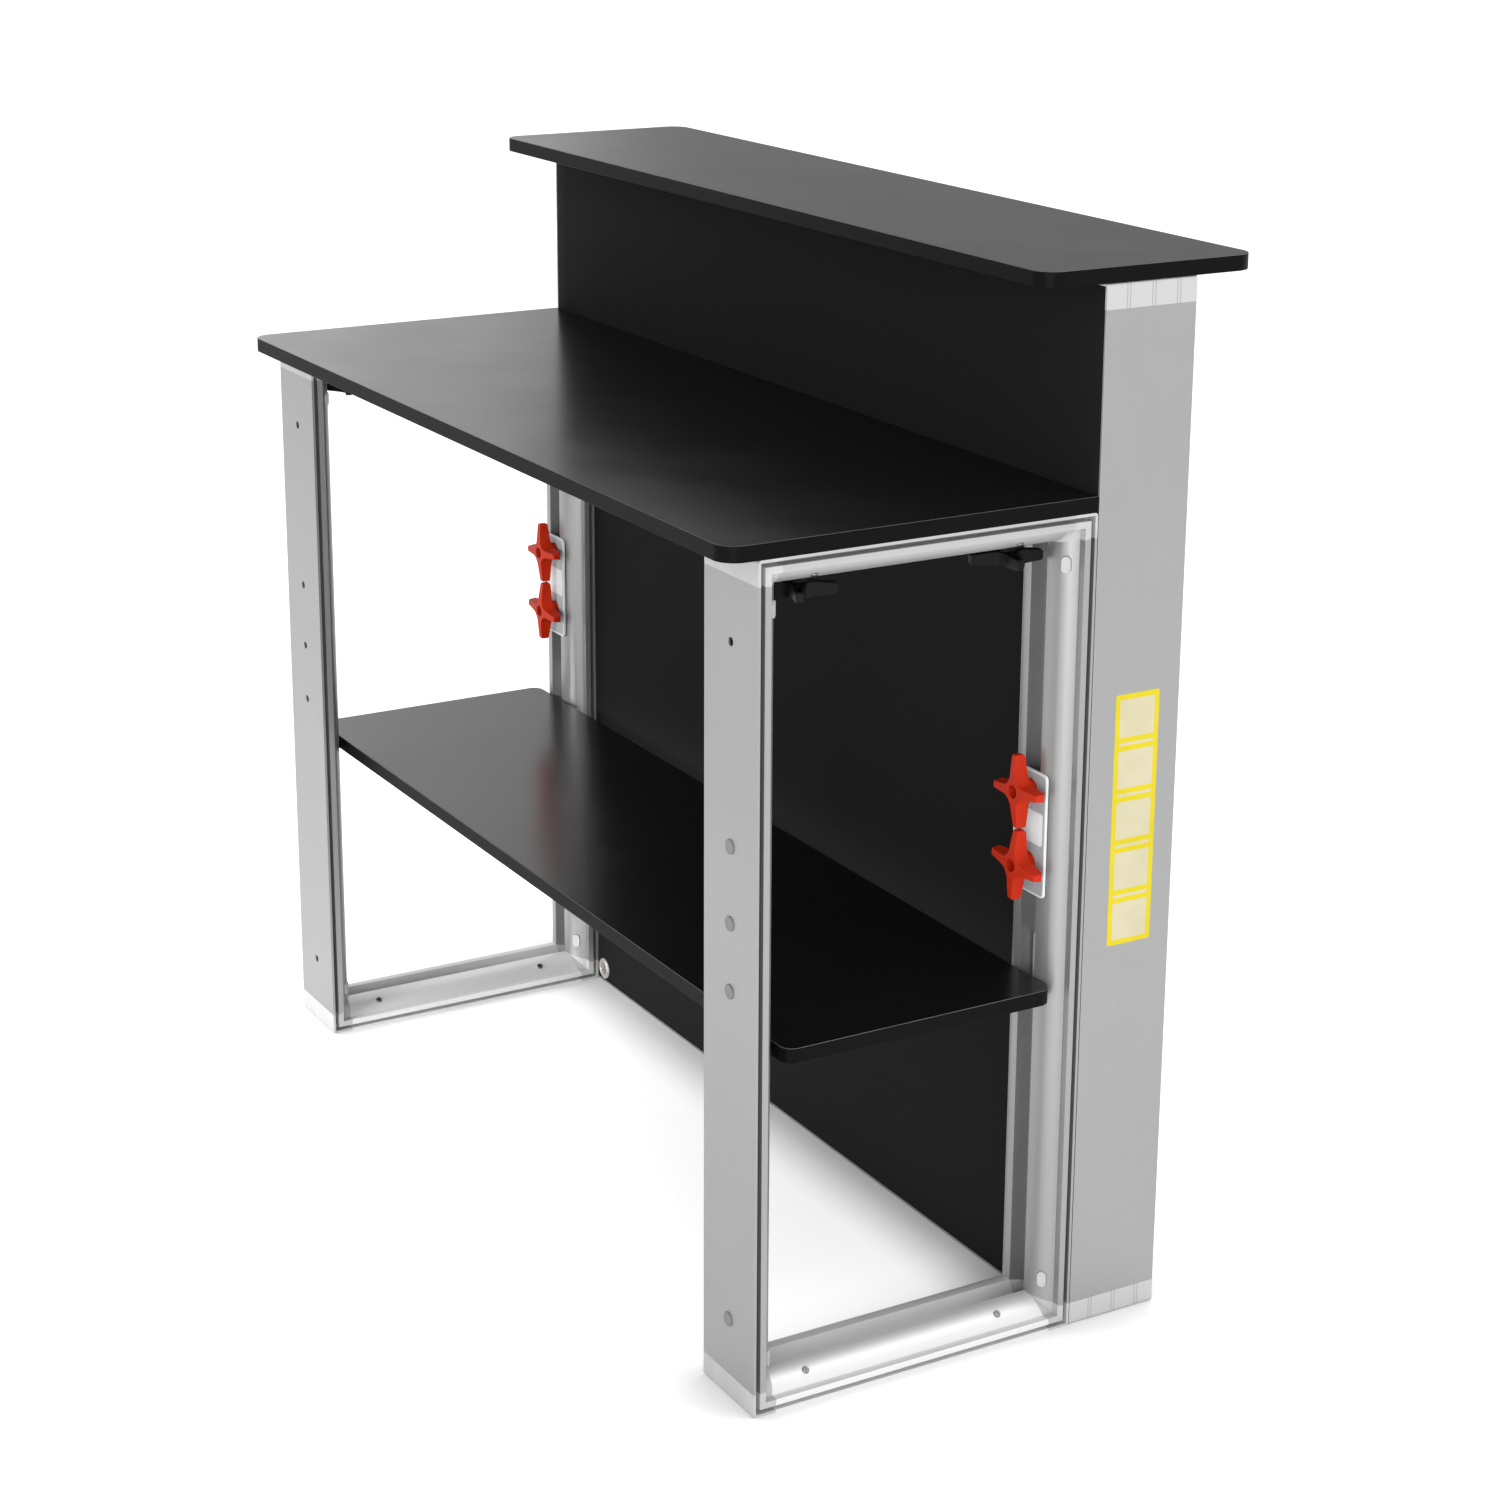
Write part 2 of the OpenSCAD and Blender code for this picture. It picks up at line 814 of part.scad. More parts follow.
// The brackets that carry the shelf's ends, in the channels of a frame's two posts
module shelf_brackets(far) {
    low = shelf_h - board_t - bracket_t;
    color("#d8d8d8")
        in_frame(far)
            for (user = [false, true])
                flip(user, frame_d, false, 0)
                    translate([(frame_w - bracket_w) / 2, floor_v, 0])
                        difference() {
                            union() {
                                translate([0, 0, low])
                                    cube([bracket_w, bracket_t, bracket_end - bracket_r - low]);
                                translate([bracket_r, 0, low])
                                    cube([bracket_w - 2 * bracket_r, bracket_t, bracket_end - low]);
                                for (x = [bracket_r, bracket_w - bracket_r])
                                    translate([x, 0, bracket_end - bracket_r])
                                        rotate([-90, 0, 0])
                                            cylinder(r = bracket_r, h = bracket_t);
                                translate([0, 0, low])
                                    cube([bracket_w, bracket_foot, bracket_t]);
                            }
                            for (drop = bolt_drops)
                                translate([bracket_w / 2, -overrun, bracket_end - drop])
                                    rotate([-90, 0, 0])
                                        cylinder(d = bolt_d + 2 * slip, h = bracket_t + 2 * overrun);
                        }
}

// The bolts that hold the brackets to the posts, with their heads in the channels
module bracket_bolts() {
    color("#9c9c9c")
        for (far = [false, true], user = [false, true], drop = bolt_drops)
            in_frame(far)
                flip(user, frame_d, false, 0)
                    translate([frame_w / 2, floor_v + bracket_t, bracket_end - drop])
                        rotate([-90, 0, 0]) {
                            cylinder(d = bolt_head_d, h = bolt_head_t);
                            translate([0, 0, -bolt_l])
                                cylinder(d = bolt_d, h = bolt_l + overrun);
                        }
}

// The caps on the near frame's outer bolt holes
module hole_caps() {
    color("#9a9a9a")
        for (i = [0 : 3])
            in_frame(false)
                translate([frame_w / 2, frame_d, post_holes[i]])
                    rotate([-90, 0, 0]) {
                        cylinder(d = cap_d, h = cap_t);
                        translate([0, 0, -cap_stem_l])
                            cylinder(d = hole_d - 2 * slip, h = cap_stem_l + cap_t / 2);
                    }
}

// The screws that hold the rails to the corner mouldings
module rail_screws() {
    color("#b0b0b0")
        for (far = [false, true], top = [false, true], user = [false, true])
            in_frame(far)
                flip(user, frame_d, top, frame_h)
                    lay()
                        on_wall(user ? screw_at_user : screw_at_box, screw_a) {
                            translate([0, 0, hump_r])
                                cylinder(d = screw_head_d, h = screw_head_t);
                            translate([0, 0, hump_r - screw_l + overrun])
                                cylinder(d = screw_d, h = screw_l);
                        }
}

// A lock button: an oval head on a shoulder that stays behind the profile's wall
module lock_button(far, user, top) {
    color("#dcdcdc")
        in_frame(far)
            flip(user, frame_d, top, frame_h)
                on_wall(button_at, button_a) {
                    translate([0, 0, shoulder_bottom])
                        oval(button_l + 2 * shoulder, button_w + 2 * shoulder, shoulder_t);
                    translate([0, 0, shoulder_bottom])
                        oval(button_l, button_w, button_top - shoulder_bottom);
                }
}

box_post(false);  // box_post_near
box_post(true);  // box_post_far
box_rail_top();
box_rail_bottom();
box_corner(false, true);  // box_corner_top_near
box_corner(true, true);  // box_corner_top_far
box_corner(false, false);  // box_corner_bottom_near
box_corner(true, false);  // box_corner_bottom_far
back_textile();
front_textile();
lamp_bars();
power_supply();
power_socket();
anchor(false);  // anchor_near
anchor(true);  // anchor_far
frame_post(false, false);  // near_post_box
frame_post(false, true);  // near_post_user
frame_rail(false, true);  // near_rail_top
frame_rail(false, false);  // near_rail_bottom
frame_corner(false, false, true);  // near_corner_box_top
frame_corner(false, false, false);  // near_corner_box_bottom
frame_corner(false, true, true);  // near_corner_user_top
frame_corner(false, true, false);  // near_corner_user_bottom
frame_post(true, false);  // far_post_box
frame_post(true, true);  // far_post_user
frame_rail(true, true);  // far_rail_top
frame_rail(true, false);  // far_rail_bottom
frame_corner(true, false, true);  // far_corner_box_top
frame_corner(true, false, false);  // far_corner_box_bottom
frame_corner(true, true, true);  // far_corner_user_top
frame_corner(true, true, false);  // far_corner_user_bottom
clamp_plate(false);  // clamp_plate_near
clamp_plate(true);  // clamp_plate_far
worktop();
bar_top();
shelf();
worktop_inserts();
shelf_brackets(false);  // shelf_brackets_near
shelf_brackets(true);  // shelf_brackets_far
bracket_bolts();
hole_caps();
rail_screws();
clamp_knob(false, false);  // clamp_knob_near_low
clamp_knob(false, true);  // clamp_knob_near_high
clamp_knob(true, false);  // clamp_knob_far_low
clamp_knob(true, true);  // clamp_knob_far_high
top_knob(false, false);  // top_knob_near_box
top_knob(false, true);  // top_knob_near_user
top_knob(true, false);  // top_knob_far_box
top_knob(true, true);  // top_knob_far_user
lock_button(false, false, false);  // button_near_box_low
lock_button(false, false, true);  // button_near_box_high
lock_button(false, true, false);  // button_near_user_low
lock_button(false, true, true);  // button_near_user_high
lock_button(true, false, false);  // button_far_box_low
lock_button(true, false, true);  // button_far_box_high
lock_button(true, true, false);  // button_far_user_low
lock_button(true, true, true);  // button_far_user_high
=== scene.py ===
# %% [markdown]
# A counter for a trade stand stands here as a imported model: every rigid piece is already at its real
# size and place. This lesson dresses it. It rounds the sharp edges that light would catch, makes the
# stretched textiles and the small moulded pieces by hand, and gives every surface its finish.
# Lengths are in metres, +Z is up, and the operator stands on the +Y side.

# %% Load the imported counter
import json
import math

import bmesh
import bpy
from mathutils import Matrix, Vector


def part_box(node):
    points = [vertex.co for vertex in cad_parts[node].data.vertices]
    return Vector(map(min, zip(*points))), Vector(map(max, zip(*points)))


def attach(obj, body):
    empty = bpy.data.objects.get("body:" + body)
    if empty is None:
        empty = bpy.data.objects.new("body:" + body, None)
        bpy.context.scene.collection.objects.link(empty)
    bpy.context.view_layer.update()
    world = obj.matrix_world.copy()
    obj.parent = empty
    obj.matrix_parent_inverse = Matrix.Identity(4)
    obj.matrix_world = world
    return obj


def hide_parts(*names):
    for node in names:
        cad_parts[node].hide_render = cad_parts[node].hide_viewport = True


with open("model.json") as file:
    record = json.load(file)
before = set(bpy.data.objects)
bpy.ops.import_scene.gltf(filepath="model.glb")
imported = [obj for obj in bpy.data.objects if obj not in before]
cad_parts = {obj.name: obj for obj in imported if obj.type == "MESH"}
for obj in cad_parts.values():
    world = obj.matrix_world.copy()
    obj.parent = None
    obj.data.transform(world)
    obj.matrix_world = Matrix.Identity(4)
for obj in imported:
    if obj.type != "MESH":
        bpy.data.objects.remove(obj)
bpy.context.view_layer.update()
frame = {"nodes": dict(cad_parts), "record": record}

MM = 0.001
nodes = frame["nodes"]

# %% [markdown]
# The camera comes first, because every later choice is judged through it. The photograph was taken
# from the operator's side, a little above the bar top, with a long lens. Its verticals were kept
# almost upright by sliding the lens down. A small slide is kept here and the rest is a downward tilt,
# so that the same camera can also walk round the counter.

# %% Camera
CAMERA_PLACE = Vector((-2.8644, 1.5866, 1.5647))
CAMERA_TURN = math.radians(29.992)
CAMERA_TILT = math.radians(15.867)
CAMERA_ROLL = math.radians(0.299)
CAMERA_LENS_MM = 73.19
CAMERA_SLIDE = -0.09

forward_level = Vector((math.cos(CAMERA_TURN), -math.sin(CAMERA_TURN), 0))
sideways = Vector((-math.sin(CAMERA_TURN), -math.cos(CAMERA_TURN), 0))
upright = Vector((0, 0, 1))
forward = forward_level * math.cos(CAMERA_TILT) - upright * math.sin(CAMERA_TILT)
tilted_up = upright * math.cos(CAMERA_TILT) + forward_level * math.sin(CAMERA_TILT)
right = sideways * math.cos(CAMERA_ROLL) + tilted_up * math.sin(CAMERA_ROLL)
up = tilted_up * math.cos(CAMERA_ROLL) - sideways * math.sin(CAMERA_ROLL)


def placed(name, data):
    """A new object with this data, in the scene."""
    thing = bpy.data.objects.new(name, data)
    bpy.context.scene.collection.objects.link(thing)
    return thing


camera = placed("camera", bpy.data.cameras.new("camera"))
camera.data.lens = CAMERA_LENS_MM
camera.data.shift_y = CAMERA_SLIDE
axes = Matrix((right, up, -forward)).transposed().to_4x4()
camera.matrix_world = Matrix.Translation(CAMERA_PLACE) @ axes
bpy.context.scene.camera = camera
print("Camera stands at", camera.location[:])

# %% [markdown]
# Most steps below work on one object at a time. An operator acts on whatever is selected, and the
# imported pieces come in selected, so each step begins by clearing the selection. Faces and edges are
# picked by where they lie or which way they face, as one would click them on the screen.

# %% Selecting
def nothing():
    """Leaves nothing selected, in object mode."""
    if bpy.context.object and bpy.context.object.mode != "OBJECT":
        bpy.ops.object.mode_set(mode="OBJECT")
    bpy.ops.object.select_all(action="DESELECT")


def alone(piece):
    """Leaves only this piece selected and active, in object mode."""
    nothing()
    bpy.context.view_layer.objects.active = piece
    piece.select_set(True)
    return piece


def pick(piece, kind, wanted):
    """Goes into edit mode and selects the faces or edges that the test wants."""
    if piece.mode != "EDIT":
        alone(piece)
        bpy.ops.object.mode_set(mode="EDIT")
    bpy.ops.mesh.select_mode(type=kind)
    bpy.ops.mesh.select_all(action="DESELECT")
    shape = bmesh.from_edit_mesh(piece.data)
    shape.normal_update()
    for element in {"FACE": shape.faces, "EDGE": shape.edges}[kind]:
        if wanted(element):
            element.select_set(True)
    shape.select_flush_mode()
    bmesh.update_edit_mesh(piece.data)


print("Packed pieces that come in selected:", len(bpy.context.selected_objects))

# %% [markdown]
# Three moves come back in almost every piece: an edge is rounded with a bevel, a top face is inset and
# pushed in, and the finished mesh is merged, turned outwards and shaded smooth up to its real edges.

# %% Shaping
SQUARE_ON = 0.9


def bevelled(piece, wanted, width, segments):
    """Rounds the edges that the test wants."""
    pick(piece, "EDGE", wanted)
    bpy.ops.mesh.bevel(offset=width, segments=segments, affect="EDGES")


def above(height):
    """The test for edges that lie wholly above a height."""
    return lambda edge: min(v.co.z for v in edge.verts) > height


def below(height):
    """The test for edges that lie wholly below a height."""
    return lambda edge: max(v.co.z for v in edge.verts) < height


def sunk(piece, rim, depth):
    """Insets the level top by a rim and pushes it in."""
    pick(piece, "FACE", lambda f: f.normal.z > SQUARE_ON)
    bpy.ops.mesh.inset(thickness=rim, depth=0)
    bpy.ops.mesh.extrude_region_move(TRANSFORM_OT_translate={"value": (0, 0, -depth)})


print("A face counts as square on within", round(math.degrees(math.acos(SQUARE_ON))), "degrees")

# %% Finishing
SMOOTH_UP_TO = math.radians(32)


def done(piece):
    """Back to object mode, with outward faces, at the origin, smooth except at real edges."""
    alone(piece)
    bpy.ops.object.transform_apply(location=True, rotation=True, scale=True)
    bpy.ops.object.mode_set(mode="EDIT")
    bpy.ops.mesh.select_all(action="SELECT")
    bpy.ops.mesh.remove_doubles(threshold=1e-6)
    bpy.ops.mesh.normals_make_consistent(inside=False)
    bpy.ops.object.mode_set(mode="OBJECT")
    bpy.ops.object.shade_smooth_by_angle(angle=SMOOTH_UP_TO)
    return piece


def modified(piece, kind, **settings):
    """Adds a modifier with its settings and applies it at once."""
    alone(piece)
    modifier = piece.modifiers.new(kind.lower(), kind)
    for key, value in settings.items():
        setattr(modifier, key, value)
    bpy.ops.object.modifier_apply(modifier=modifier.name)
    return piece


print("Faces are shaded smooth up to", round(math.degrees(SMOOTH_UP_TO)), "degrees")

# %% [markdown]
# A material starts from what the real one is made of. Its colours are read off as sRGB hex values,
# as a paint chart gives them, and turned to the linear numbers that light is reckoned in. One small
# function adds a node with its settings and its links; the rest is only a matter of which nodes.
# Patterns read Object coordinates, which are metres here, so a grain of 1 mm has a scale of 1000.

# %% Colours
def linear(colour):
    """An sRGB hex colour as linear red, green, blue and alpha."""
    parts = [int(colour[i:i + 2], 16) / 255 for i in (1, 3, 5)]
    return (*(p / 12.92 if p <= 0.04045 else ((p + 0.055) / 1.055) ** 2.4 for p in parts), 1.0)


def between(dark, light):
    """The settings of a Mix node that goes from one colour to another."""
    return {"data_type": "RGBA", 6: linear(dark), 7: linear(light)}


print("Middle grey in linear numbers is", linear("#808080"))

# %% Nodes and materials
NOISE_SPAN = {"From Min": 0.3, "From Max": 0.7}  # where nearly all of a noise's values lie


def add(tree, kind, settings=None, links=None):
    """Adds a shader node, sets its properties and sockets, and links its inputs to outputs."""
    node = tree.nodes.new("ShaderNode" + kind)
    for key, value in (settings or {}).items():
        if isinstance(key, str) and hasattr(node, key):
            setattr(node, key, value)
        else:
            node.inputs[key].default_value = value
    return wire(tree, node, links or {})


def wire(tree, node, links):
    """Links a node's inputs to outputs; another node stands for its first output in use."""
    for key, source in links.items():
        if isinstance(source, bpy.types.Node):
            source = next(output for output in source.outputs if output.enabled)
        tree.links.new(source, node.inputs[key])
    return node


def surface(tree, shader, colour, shine, relief):
    """Leads the nodes of a colour, a roughness and a relief to the shader."""
    wire(tree, shader, {"Base Color": colour, "Roughness": shine, "Normal": relief})


def start(name, base, roughness, metallic=0.0, ior=1.5, **more):
    """A new material with its constant values on its shader, and the coordinates to read."""
    material = bpy.data.materials.new(name)
    material.use_nodes = True
    tree = material.node_tree
    shader = tree.nodes["Principled BSDF"]
    values = {"Base_Color": linear(base), "Roughness": roughness, "Metallic": metallic, "IOR": ior}
    for key, value in {**values, **more}.items():
        shader.inputs[key.replace("_", " ")].default_value = value
    where = add(tree, "TexCoord").outputs["Object"]
    return material, tree, shader, where


print("Materials before the first is made:", len(bpy.data.materials))

# %% [markdown]
# The frames are extruded aluminium profiles, anodised in their natural colour. The die leaves fine
# lines along the length, and the etch before anodising turns them satin. A noise that is squeezed
# across the profile and stretched along it gives those lines. Real die lines are a tenth of a
# millimetre apart; they are drawn at 1.6 mm so that they show. The three directions differ in where
# the lines run: up the posts, along the side frames' rails, along the long rails.

# %% Anodised aluminium
DIE_LINE, DIE_RUN = 1.6 * MM, 400 * MM
ETCH_CLOUDS = 6.0  # to the metre: the etch leaves patches some 170 mm wide


def anodised_aluminium(name, along, dark, light, metallic):
    """Satin anodised aluminium with die lines along one axis."""
    material, tree, shader, where = start(name, light, 0.45, metallic=metallic)
    squeeze = [1 / DIE_LINE] * 3
    squeeze[along] = 1 / DIE_RUN
    squeezed = add(tree, "Mapping", {"Scale": squeeze}, {"Vector": where})
    lines = add(tree, "TexNoise", {"Scale": 1.0, "Detail": 3.0, "Roughness": 0.6}, {"Vector": squeezed})
    clouds = add(tree, "TexNoise", {"Scale": ETCH_CLOUDS, "Detail": 2.0}, {"Vector": where})
    faint = add(tree, "MapRange", {**NOISE_SPAN, "To Min": 0.08, "To Max": 0.27}, {"Value": clouds})
    both = add(tree, "Math", {"operation": "MULTIPLY_ADD", 1: 0.65}, {0: lines, 2: faint})
    colour = add(tree, "Mix", between(dark, light), {0: both})
    satin = add(tree, "MapRange", {**NOISE_SPAN, "To Min": 0.42, "To Max": 0.5}, {"Value": lines})
    relief = add(tree, "Bump", {"Strength": 0.08, "Distance": 0.02 * MM}, {"Height": lines})
    surface(tree, shader, colour, satin, relief)
    return material


# Broad satin faces of the posts and long rails: an even mid grey that takes a soft, wide shine.
aluminium_up = anodised_aluminium("anodised_aluminium_up", 2, "#949494", "#a2a2a2", 0.75)
aluminium_long = anodised_aluminium("anodised_aluminium_long", 0, "#949494", "#a2a2a2", 0.75)
# The curved walls of the low rails: the same metal painted paler and less metallic, as painted light for
# the strong light they catch.
low_rail_aluminium_painted_light = anodised_aluminium("anodised_aluminium_painted_light", 1, "#d6d6d6", "#e4e4e4", 0.4)
# The rails under the worktop: the same metal painted darker, as painted shade, because they lie in the
# full light of the fill.
top_rail_aluminium_painted_shade = anodised_aluminium("anodised_aluminium_painted_shade", 1, "#a6a6a6", "#b4b4b4", 0.5)
print("Made four anodised finishes")

# %% [markdown]
# The small pieces are moulded plastic. Hot plastic leaves slow flow marks in the colour, and the
# mould's spark-eroded wall leaves a fine grain. One function makes them all, from the colour, the
# gloss, and the size and depth of the grain. Grain below half a millimetre is drawn coarser.

# %% Moulded plastic
FLOW_MARKS = 28.0  # to the metre: one in 36 mm


def moulded_plastic(name, base, dark, light, roughness, grain_mm, depth_mm, gloss=0.5):
    """Moulded plastic: slow flow marks in the colour, and the mould's fine grain."""
    material, tree, shader, where = start(name, base, roughness, ior=1.53, Specular_IOR_Level=gloss)
    flow = add(tree, "TexNoise", {"Scale": FLOW_MARKS, "Detail": 3.0, "Distortion": 0.6},
        {"Vector": where})
    share = add(tree, "MapRange", NOISE_SPAN, {"Value": flow})
    colour = add(tree, "Mix", between(dark, light), {0: share})
    shine = add(tree, "MapRange",
        {**NOISE_SPAN, "To Min": roughness - 0.05, "To Max": roughness + 0.06}, {"Value": flow})
    grain = add(tree, "TexNoise", {"Scale": 1 / (grain_mm * MM), "Detail": 2.0}, {"Vector": where})
    relief = add(tree, "Bump", {"Strength": 0.25, "Distance": depth_mm * MM}, {"Height": grain})
    surface(tree, shader, colour, shine, relief)
    return material


# Glass-filled nylon of the frames' corners: pale grey, duller than the metal beside it.
corner_nylon = moulded_plastic("moulded_grey_nylon", "#aeaeae", "#a8a8a8", "#b4b4b4", 0.42, 0.9, 0.03)
# The same nylon on the lit box's corners, before its moulded lines are added below.
ribbed_nylon = moulded_plastic("moulded_ribbed_nylon", "#b0b0b0", "#aaaaaa", "#b6b6b6", 0.42, 0.9, 0.03)
# Red nylon of the clamp knobs: a strong orange red with little shine.
red_nylon = moulded_plastic("moulded_red_nylon", "#b42404", "#ac2003", "#bc2905", 0.5, 0.7, 0.03, 0.15)
# The knobs' front holes get a near-black red: painted shade inside the hole.
bore_nylon_painted_shade = moulded_plastic("bore_red_nylon_painted_shade", "#3a0c03", "#300902", "#440f04", 0.7, 0.7, 0.05, 0.1)
# Black nylon of the knobs under the worktop: nearly no shine, so only their edges show.
black_nylon = moulded_plastic("moulded_black_nylon", "#0a0a0a", "#070707", "#0d0d0d", 0.5, 0.7, 0.03, 0.12)
print("Made five nylons")

# %% Other plastics, paint and prints
# ABS of the clamp plates: a cool white rim and panel with a soft shine.
white_abs = moulded_plastic("moulded_white_abs", "#d9e0e2", "#d5dcde", "#dde4e6", 0.4, 0.8, 0.02)
# The plates' field behind the rim is painted greyer and duller than the rim: painted shade of the recess.
field_abs_painted_shade = moulded_plastic("field_grey_abs_painted_shade", "#a4adb0", "#9da6a9", "#acb5b8", 0.5, 0.6, 0.03)
# Acetal of the lock buttons: light grey and a little slippery to the eye.
button_acetal = moulded_plastic("moulded_acetal", "#b4b4b3", "#aeaead", "#bababa", 0.3, 0.9, 0.02)
# Polyethylene of the hole caps: a flat, waxy mid grey.
cap_plastic = moulded_plastic("grey_polyethylene", "#6f6f6f", "#686868", "#767676", 0.5, 0.9, 0.02)
# Silicone of the textiles' edge strips: clear, cloudy and soft.
silicone = moulded_plastic("clear_silicone", "#dfe0dd", "#d8d9d6", "#e6e7e4", 0.45, 1.2, 0.02)
# Acrylic of the lamps' lenses: smooth and bright.
lens_glass = moulded_plastic("lens_acrylic", "#f4f4f4", "#f0f0f0", "#fafafa", 0.12, 2.0, 0.01)
# Powder paint on the power supply's case: the fine orange peel of baked powder.
case_paint = moulded_plastic("grey_powder_paint", "#b8b8b8", "#b0b0b0", "#c0c0c0", 0.55, 0.5, 0.04)
# Printed vinyl of the sign: even, dull ink, lemon yellow round cream.
yellow_vinyl = moulded_plastic("yellow_vinyl", "#c6b614", "#c2b210", "#cab918", 0.5, 1.5, 0.01, 0.2)
cream_print = moulded_plastic("cream_vinyl", "#bdb698", "#bab393", "#c0b99d", 0.5, 1.5, 0.01, 0.2)
print("Made nine plastics, paints and prints")

# %% [markdown]
# The lit box's corners carry fine moulded lines, two by two, across their end face. They are too
# shallow to be worth cutting into the mesh. A saw-shaped wave along y is folded twice round its
# middle, which leaves a pair of narrow dark bands in each step.

# %% The lines on the box corners
RIB_STEP, RIB_PHASE, RIB_HALF_GAP = 29.5 * MM, 1.97, 0.06
WAVE_TURN = 2 * math.pi / 20  # a wave's Scale for one turn each metre

ribs_tree = ribbed_nylon.node_tree
ribs_shader = ribs_tree.nodes["Principled BSDF"]
where = add(ribs_tree, "TexCoord").outputs["Object"]
fold = add(ribs_tree, "TexWave", {"bands_direction": "Y", "wave_profile": "SAW",
    "Scale": WAVE_TURN / RIB_STEP, "Phase Offset": RIB_PHASE}, {"Vector": where}).outputs["Fac"]
for offset in (0.5, RIB_HALF_GAP):
    less = add(ribs_tree, "Math", {"operation": "SUBTRACT", 1: offset}, {0: fold})
    fold = add(ribs_tree, "Math", {"operation": "ABSOLUTE"}, {0: less})
ribs = add(ribs_tree, "MapRange", {"From Min": 0.012, "From Max": 0.03}, {"Value": fold})
colour = add(ribs_tree, "Mix", between("#969696", "#b0b0b0"), {0: ribs})
relief = add(ribs_tree, "Bump", {"Strength": 0.3, "Distance": 0.1 * MM}, {"Height": ribs})
wire(ribs_tree, ribs_shader, {"Base Color": colour, "Normal": relief})
print("Drew double lines every", round(RIB_STEP / MM, 1), "mm")

# %% [markdown]
# The worktop, shelf and bar top are particle board under a black laminate pressed against a pearl
# plate. Its tiny dimples spread the reflections: the surface is dull seen from above and bright at
# a low angle. The edges carry a glued plastic band, smoother and a shade lighter.

# %% Laminate
PRESS_CLOUDS = 9.0  # to the metre: the press leaves patches some 110 mm wide


def pearl_laminate():
    """Black melamine laminate with a pearl texture of 1.4 mm dimples."""
    material, tree, shader, where = start("black_pearl_laminate", "#0b0b0b", 0.24, ior=1.53)
    pearl = add(tree, "TexVoronoi", {"Scale": 1 / (1.4 * MM), "feature": "SMOOTH_F1",
        "Smoothness": 0.6}, {"Vector": where})
    share = add(tree, "MapRange", {"From Min": 0.1, "From Max": 0.7}, {"Value": pearl})
    colour = add(tree, "Mix", between("#090909", "#0e0e0e"), {0: share})
    cloud = add(tree, "TexNoise", {"Scale": PRESS_CLOUDS, "Detail": 4.0}, {"Vector": where})
    shine = add(tree, "MapRange", {**NOISE_SPAN, "To Min": 0.22, "To Max": 0.26}, {"Value": cloud})
    relief = add(tree, "Bump", {"Strength": 0.2, "Distance": 0.05 * MM}, {"Height": pearl})
    surface(tree, shader, colour, shine, relief)
    return material


# Melamine laminate: deep black from above, a soft mirror along the board.
laminate = pearl_laminate()
print("Made the laminate")

# %% Edge band
SCRAPE, SCRAPE_RUN = 0.8 * MM, 12  # between marks down the edge; marks to the metre along it


def edge_band():
    """Black plastic edge band, scraped flush by a trimming knife."""
    material, tree, shader, where = start("black_edge_band", "#0a0a0a", 0.42, Specular_IOR_Level=0.05)
    squeezed = add(tree, "Mapping", {"Scale": (SCRAPE_RUN, SCRAPE_RUN, 1 / SCRAPE)}, {"Vector": where})
    scrape = add(tree, "TexNoise", {"Scale": 1.0, "Detail": 2.0}, {"Vector": squeezed})
    share = add(tree, "MapRange", NOISE_SPAN, {"Value": scrape})
    colour = add(tree, "Mix", between("#080808", "#0d0d0d"), {0: share})
    shine = add(tree, "MapRange", {**NOISE_SPAN, "To Min": 0.38, "To Max": 0.48}, {"Value": scrape})
    relief = add(tree, "Bump", {"Strength": 0.1, "Distance": 0.02 * MM}, {"Height": scrape})
    surface(tree, shader, colour, shine, relief)
    return material


# Edge band: black with hardly any shine, so the board's thickness reads as one dark line.
band = edge_band()
# The band's arris gets a paler grey: a painted highlight, the thin light line along the board's top edge.
arris = moulded_plastic("band_arris_painted_highlight", "#5c5c5c", "#505050", "#686868", 0.35, 1.5, 0.01)
print("Made the edge band and its arris")

# %% [markdown]
# Two textiles close the lit box. Both are knitted polyester, stretched tight by a silicone strip sewn
# round the edge. The one behind is coated black so that no light leaks to the operator, the one in
# front is white, and its glow is painted light that stands in for the lamps behind it. A real stitch
# is half a millimetre; it is drawn at 2 mm so that it shows.

# %% Textiles
STITCH = 2.0 * MM
PULLS, PULL_SHAPE = 3.0, (0.6, 1, 2.4)  # patches to the metre, drawn out sideways
GLOW_PATCHES = 1.6  # to the metre: the lamps are far apart


def knitted(name, base, dark, light, specular, depth, **more):
    """A knit: two crossing waves for the stitches, and slow patches where the cloth is pulled more."""
    material, tree, shader, where = start(name, base, 0.85, ior=1.45, Specular_IOR_Level=specular, **more)
    rows = [add(tree, "TexWave", {"bands_direction": way, "Scale": WAVE_TURN / STITCH},
        {"Vector": where}).outputs["Fac"] for way in ("X", "Z")]
    knit = add(tree, "Math", {"operation": "MULTIPLY"}, {0: rows[0], 1: rows[1]})
    drawn_out = add(tree, "Mapping", {"Scale": PULL_SHAPE}, {"Vector": where})
    pull = add(tree, "TexNoise", {"Scale": PULLS, "Detail": 3.0}, {"Vector": drawn_out})
    faint = add(tree, "MapRange", {**NOISE_SPAN, "To Max": 0.5}, {"Value": pull})
    share = add(tree, "Math", {"operation": "MULTIPLY_ADD", 1: 0.5}, {0: knit, 2: faint})
    colour = add(tree, "Mix", between(dark, light), {0: share})
    dull = add(tree, "MapRange", {**NOISE_SPAN, "To Min": 0.8, "To Max": 0.92}, {"Value": pull})
    relief = add(tree, "Bump", {"Strength": depth, "Distance": 0.08 * MM}, {"Height": knit})
    surface(tree, shader, colour, dull, relief)
    return material, tree, shader, where


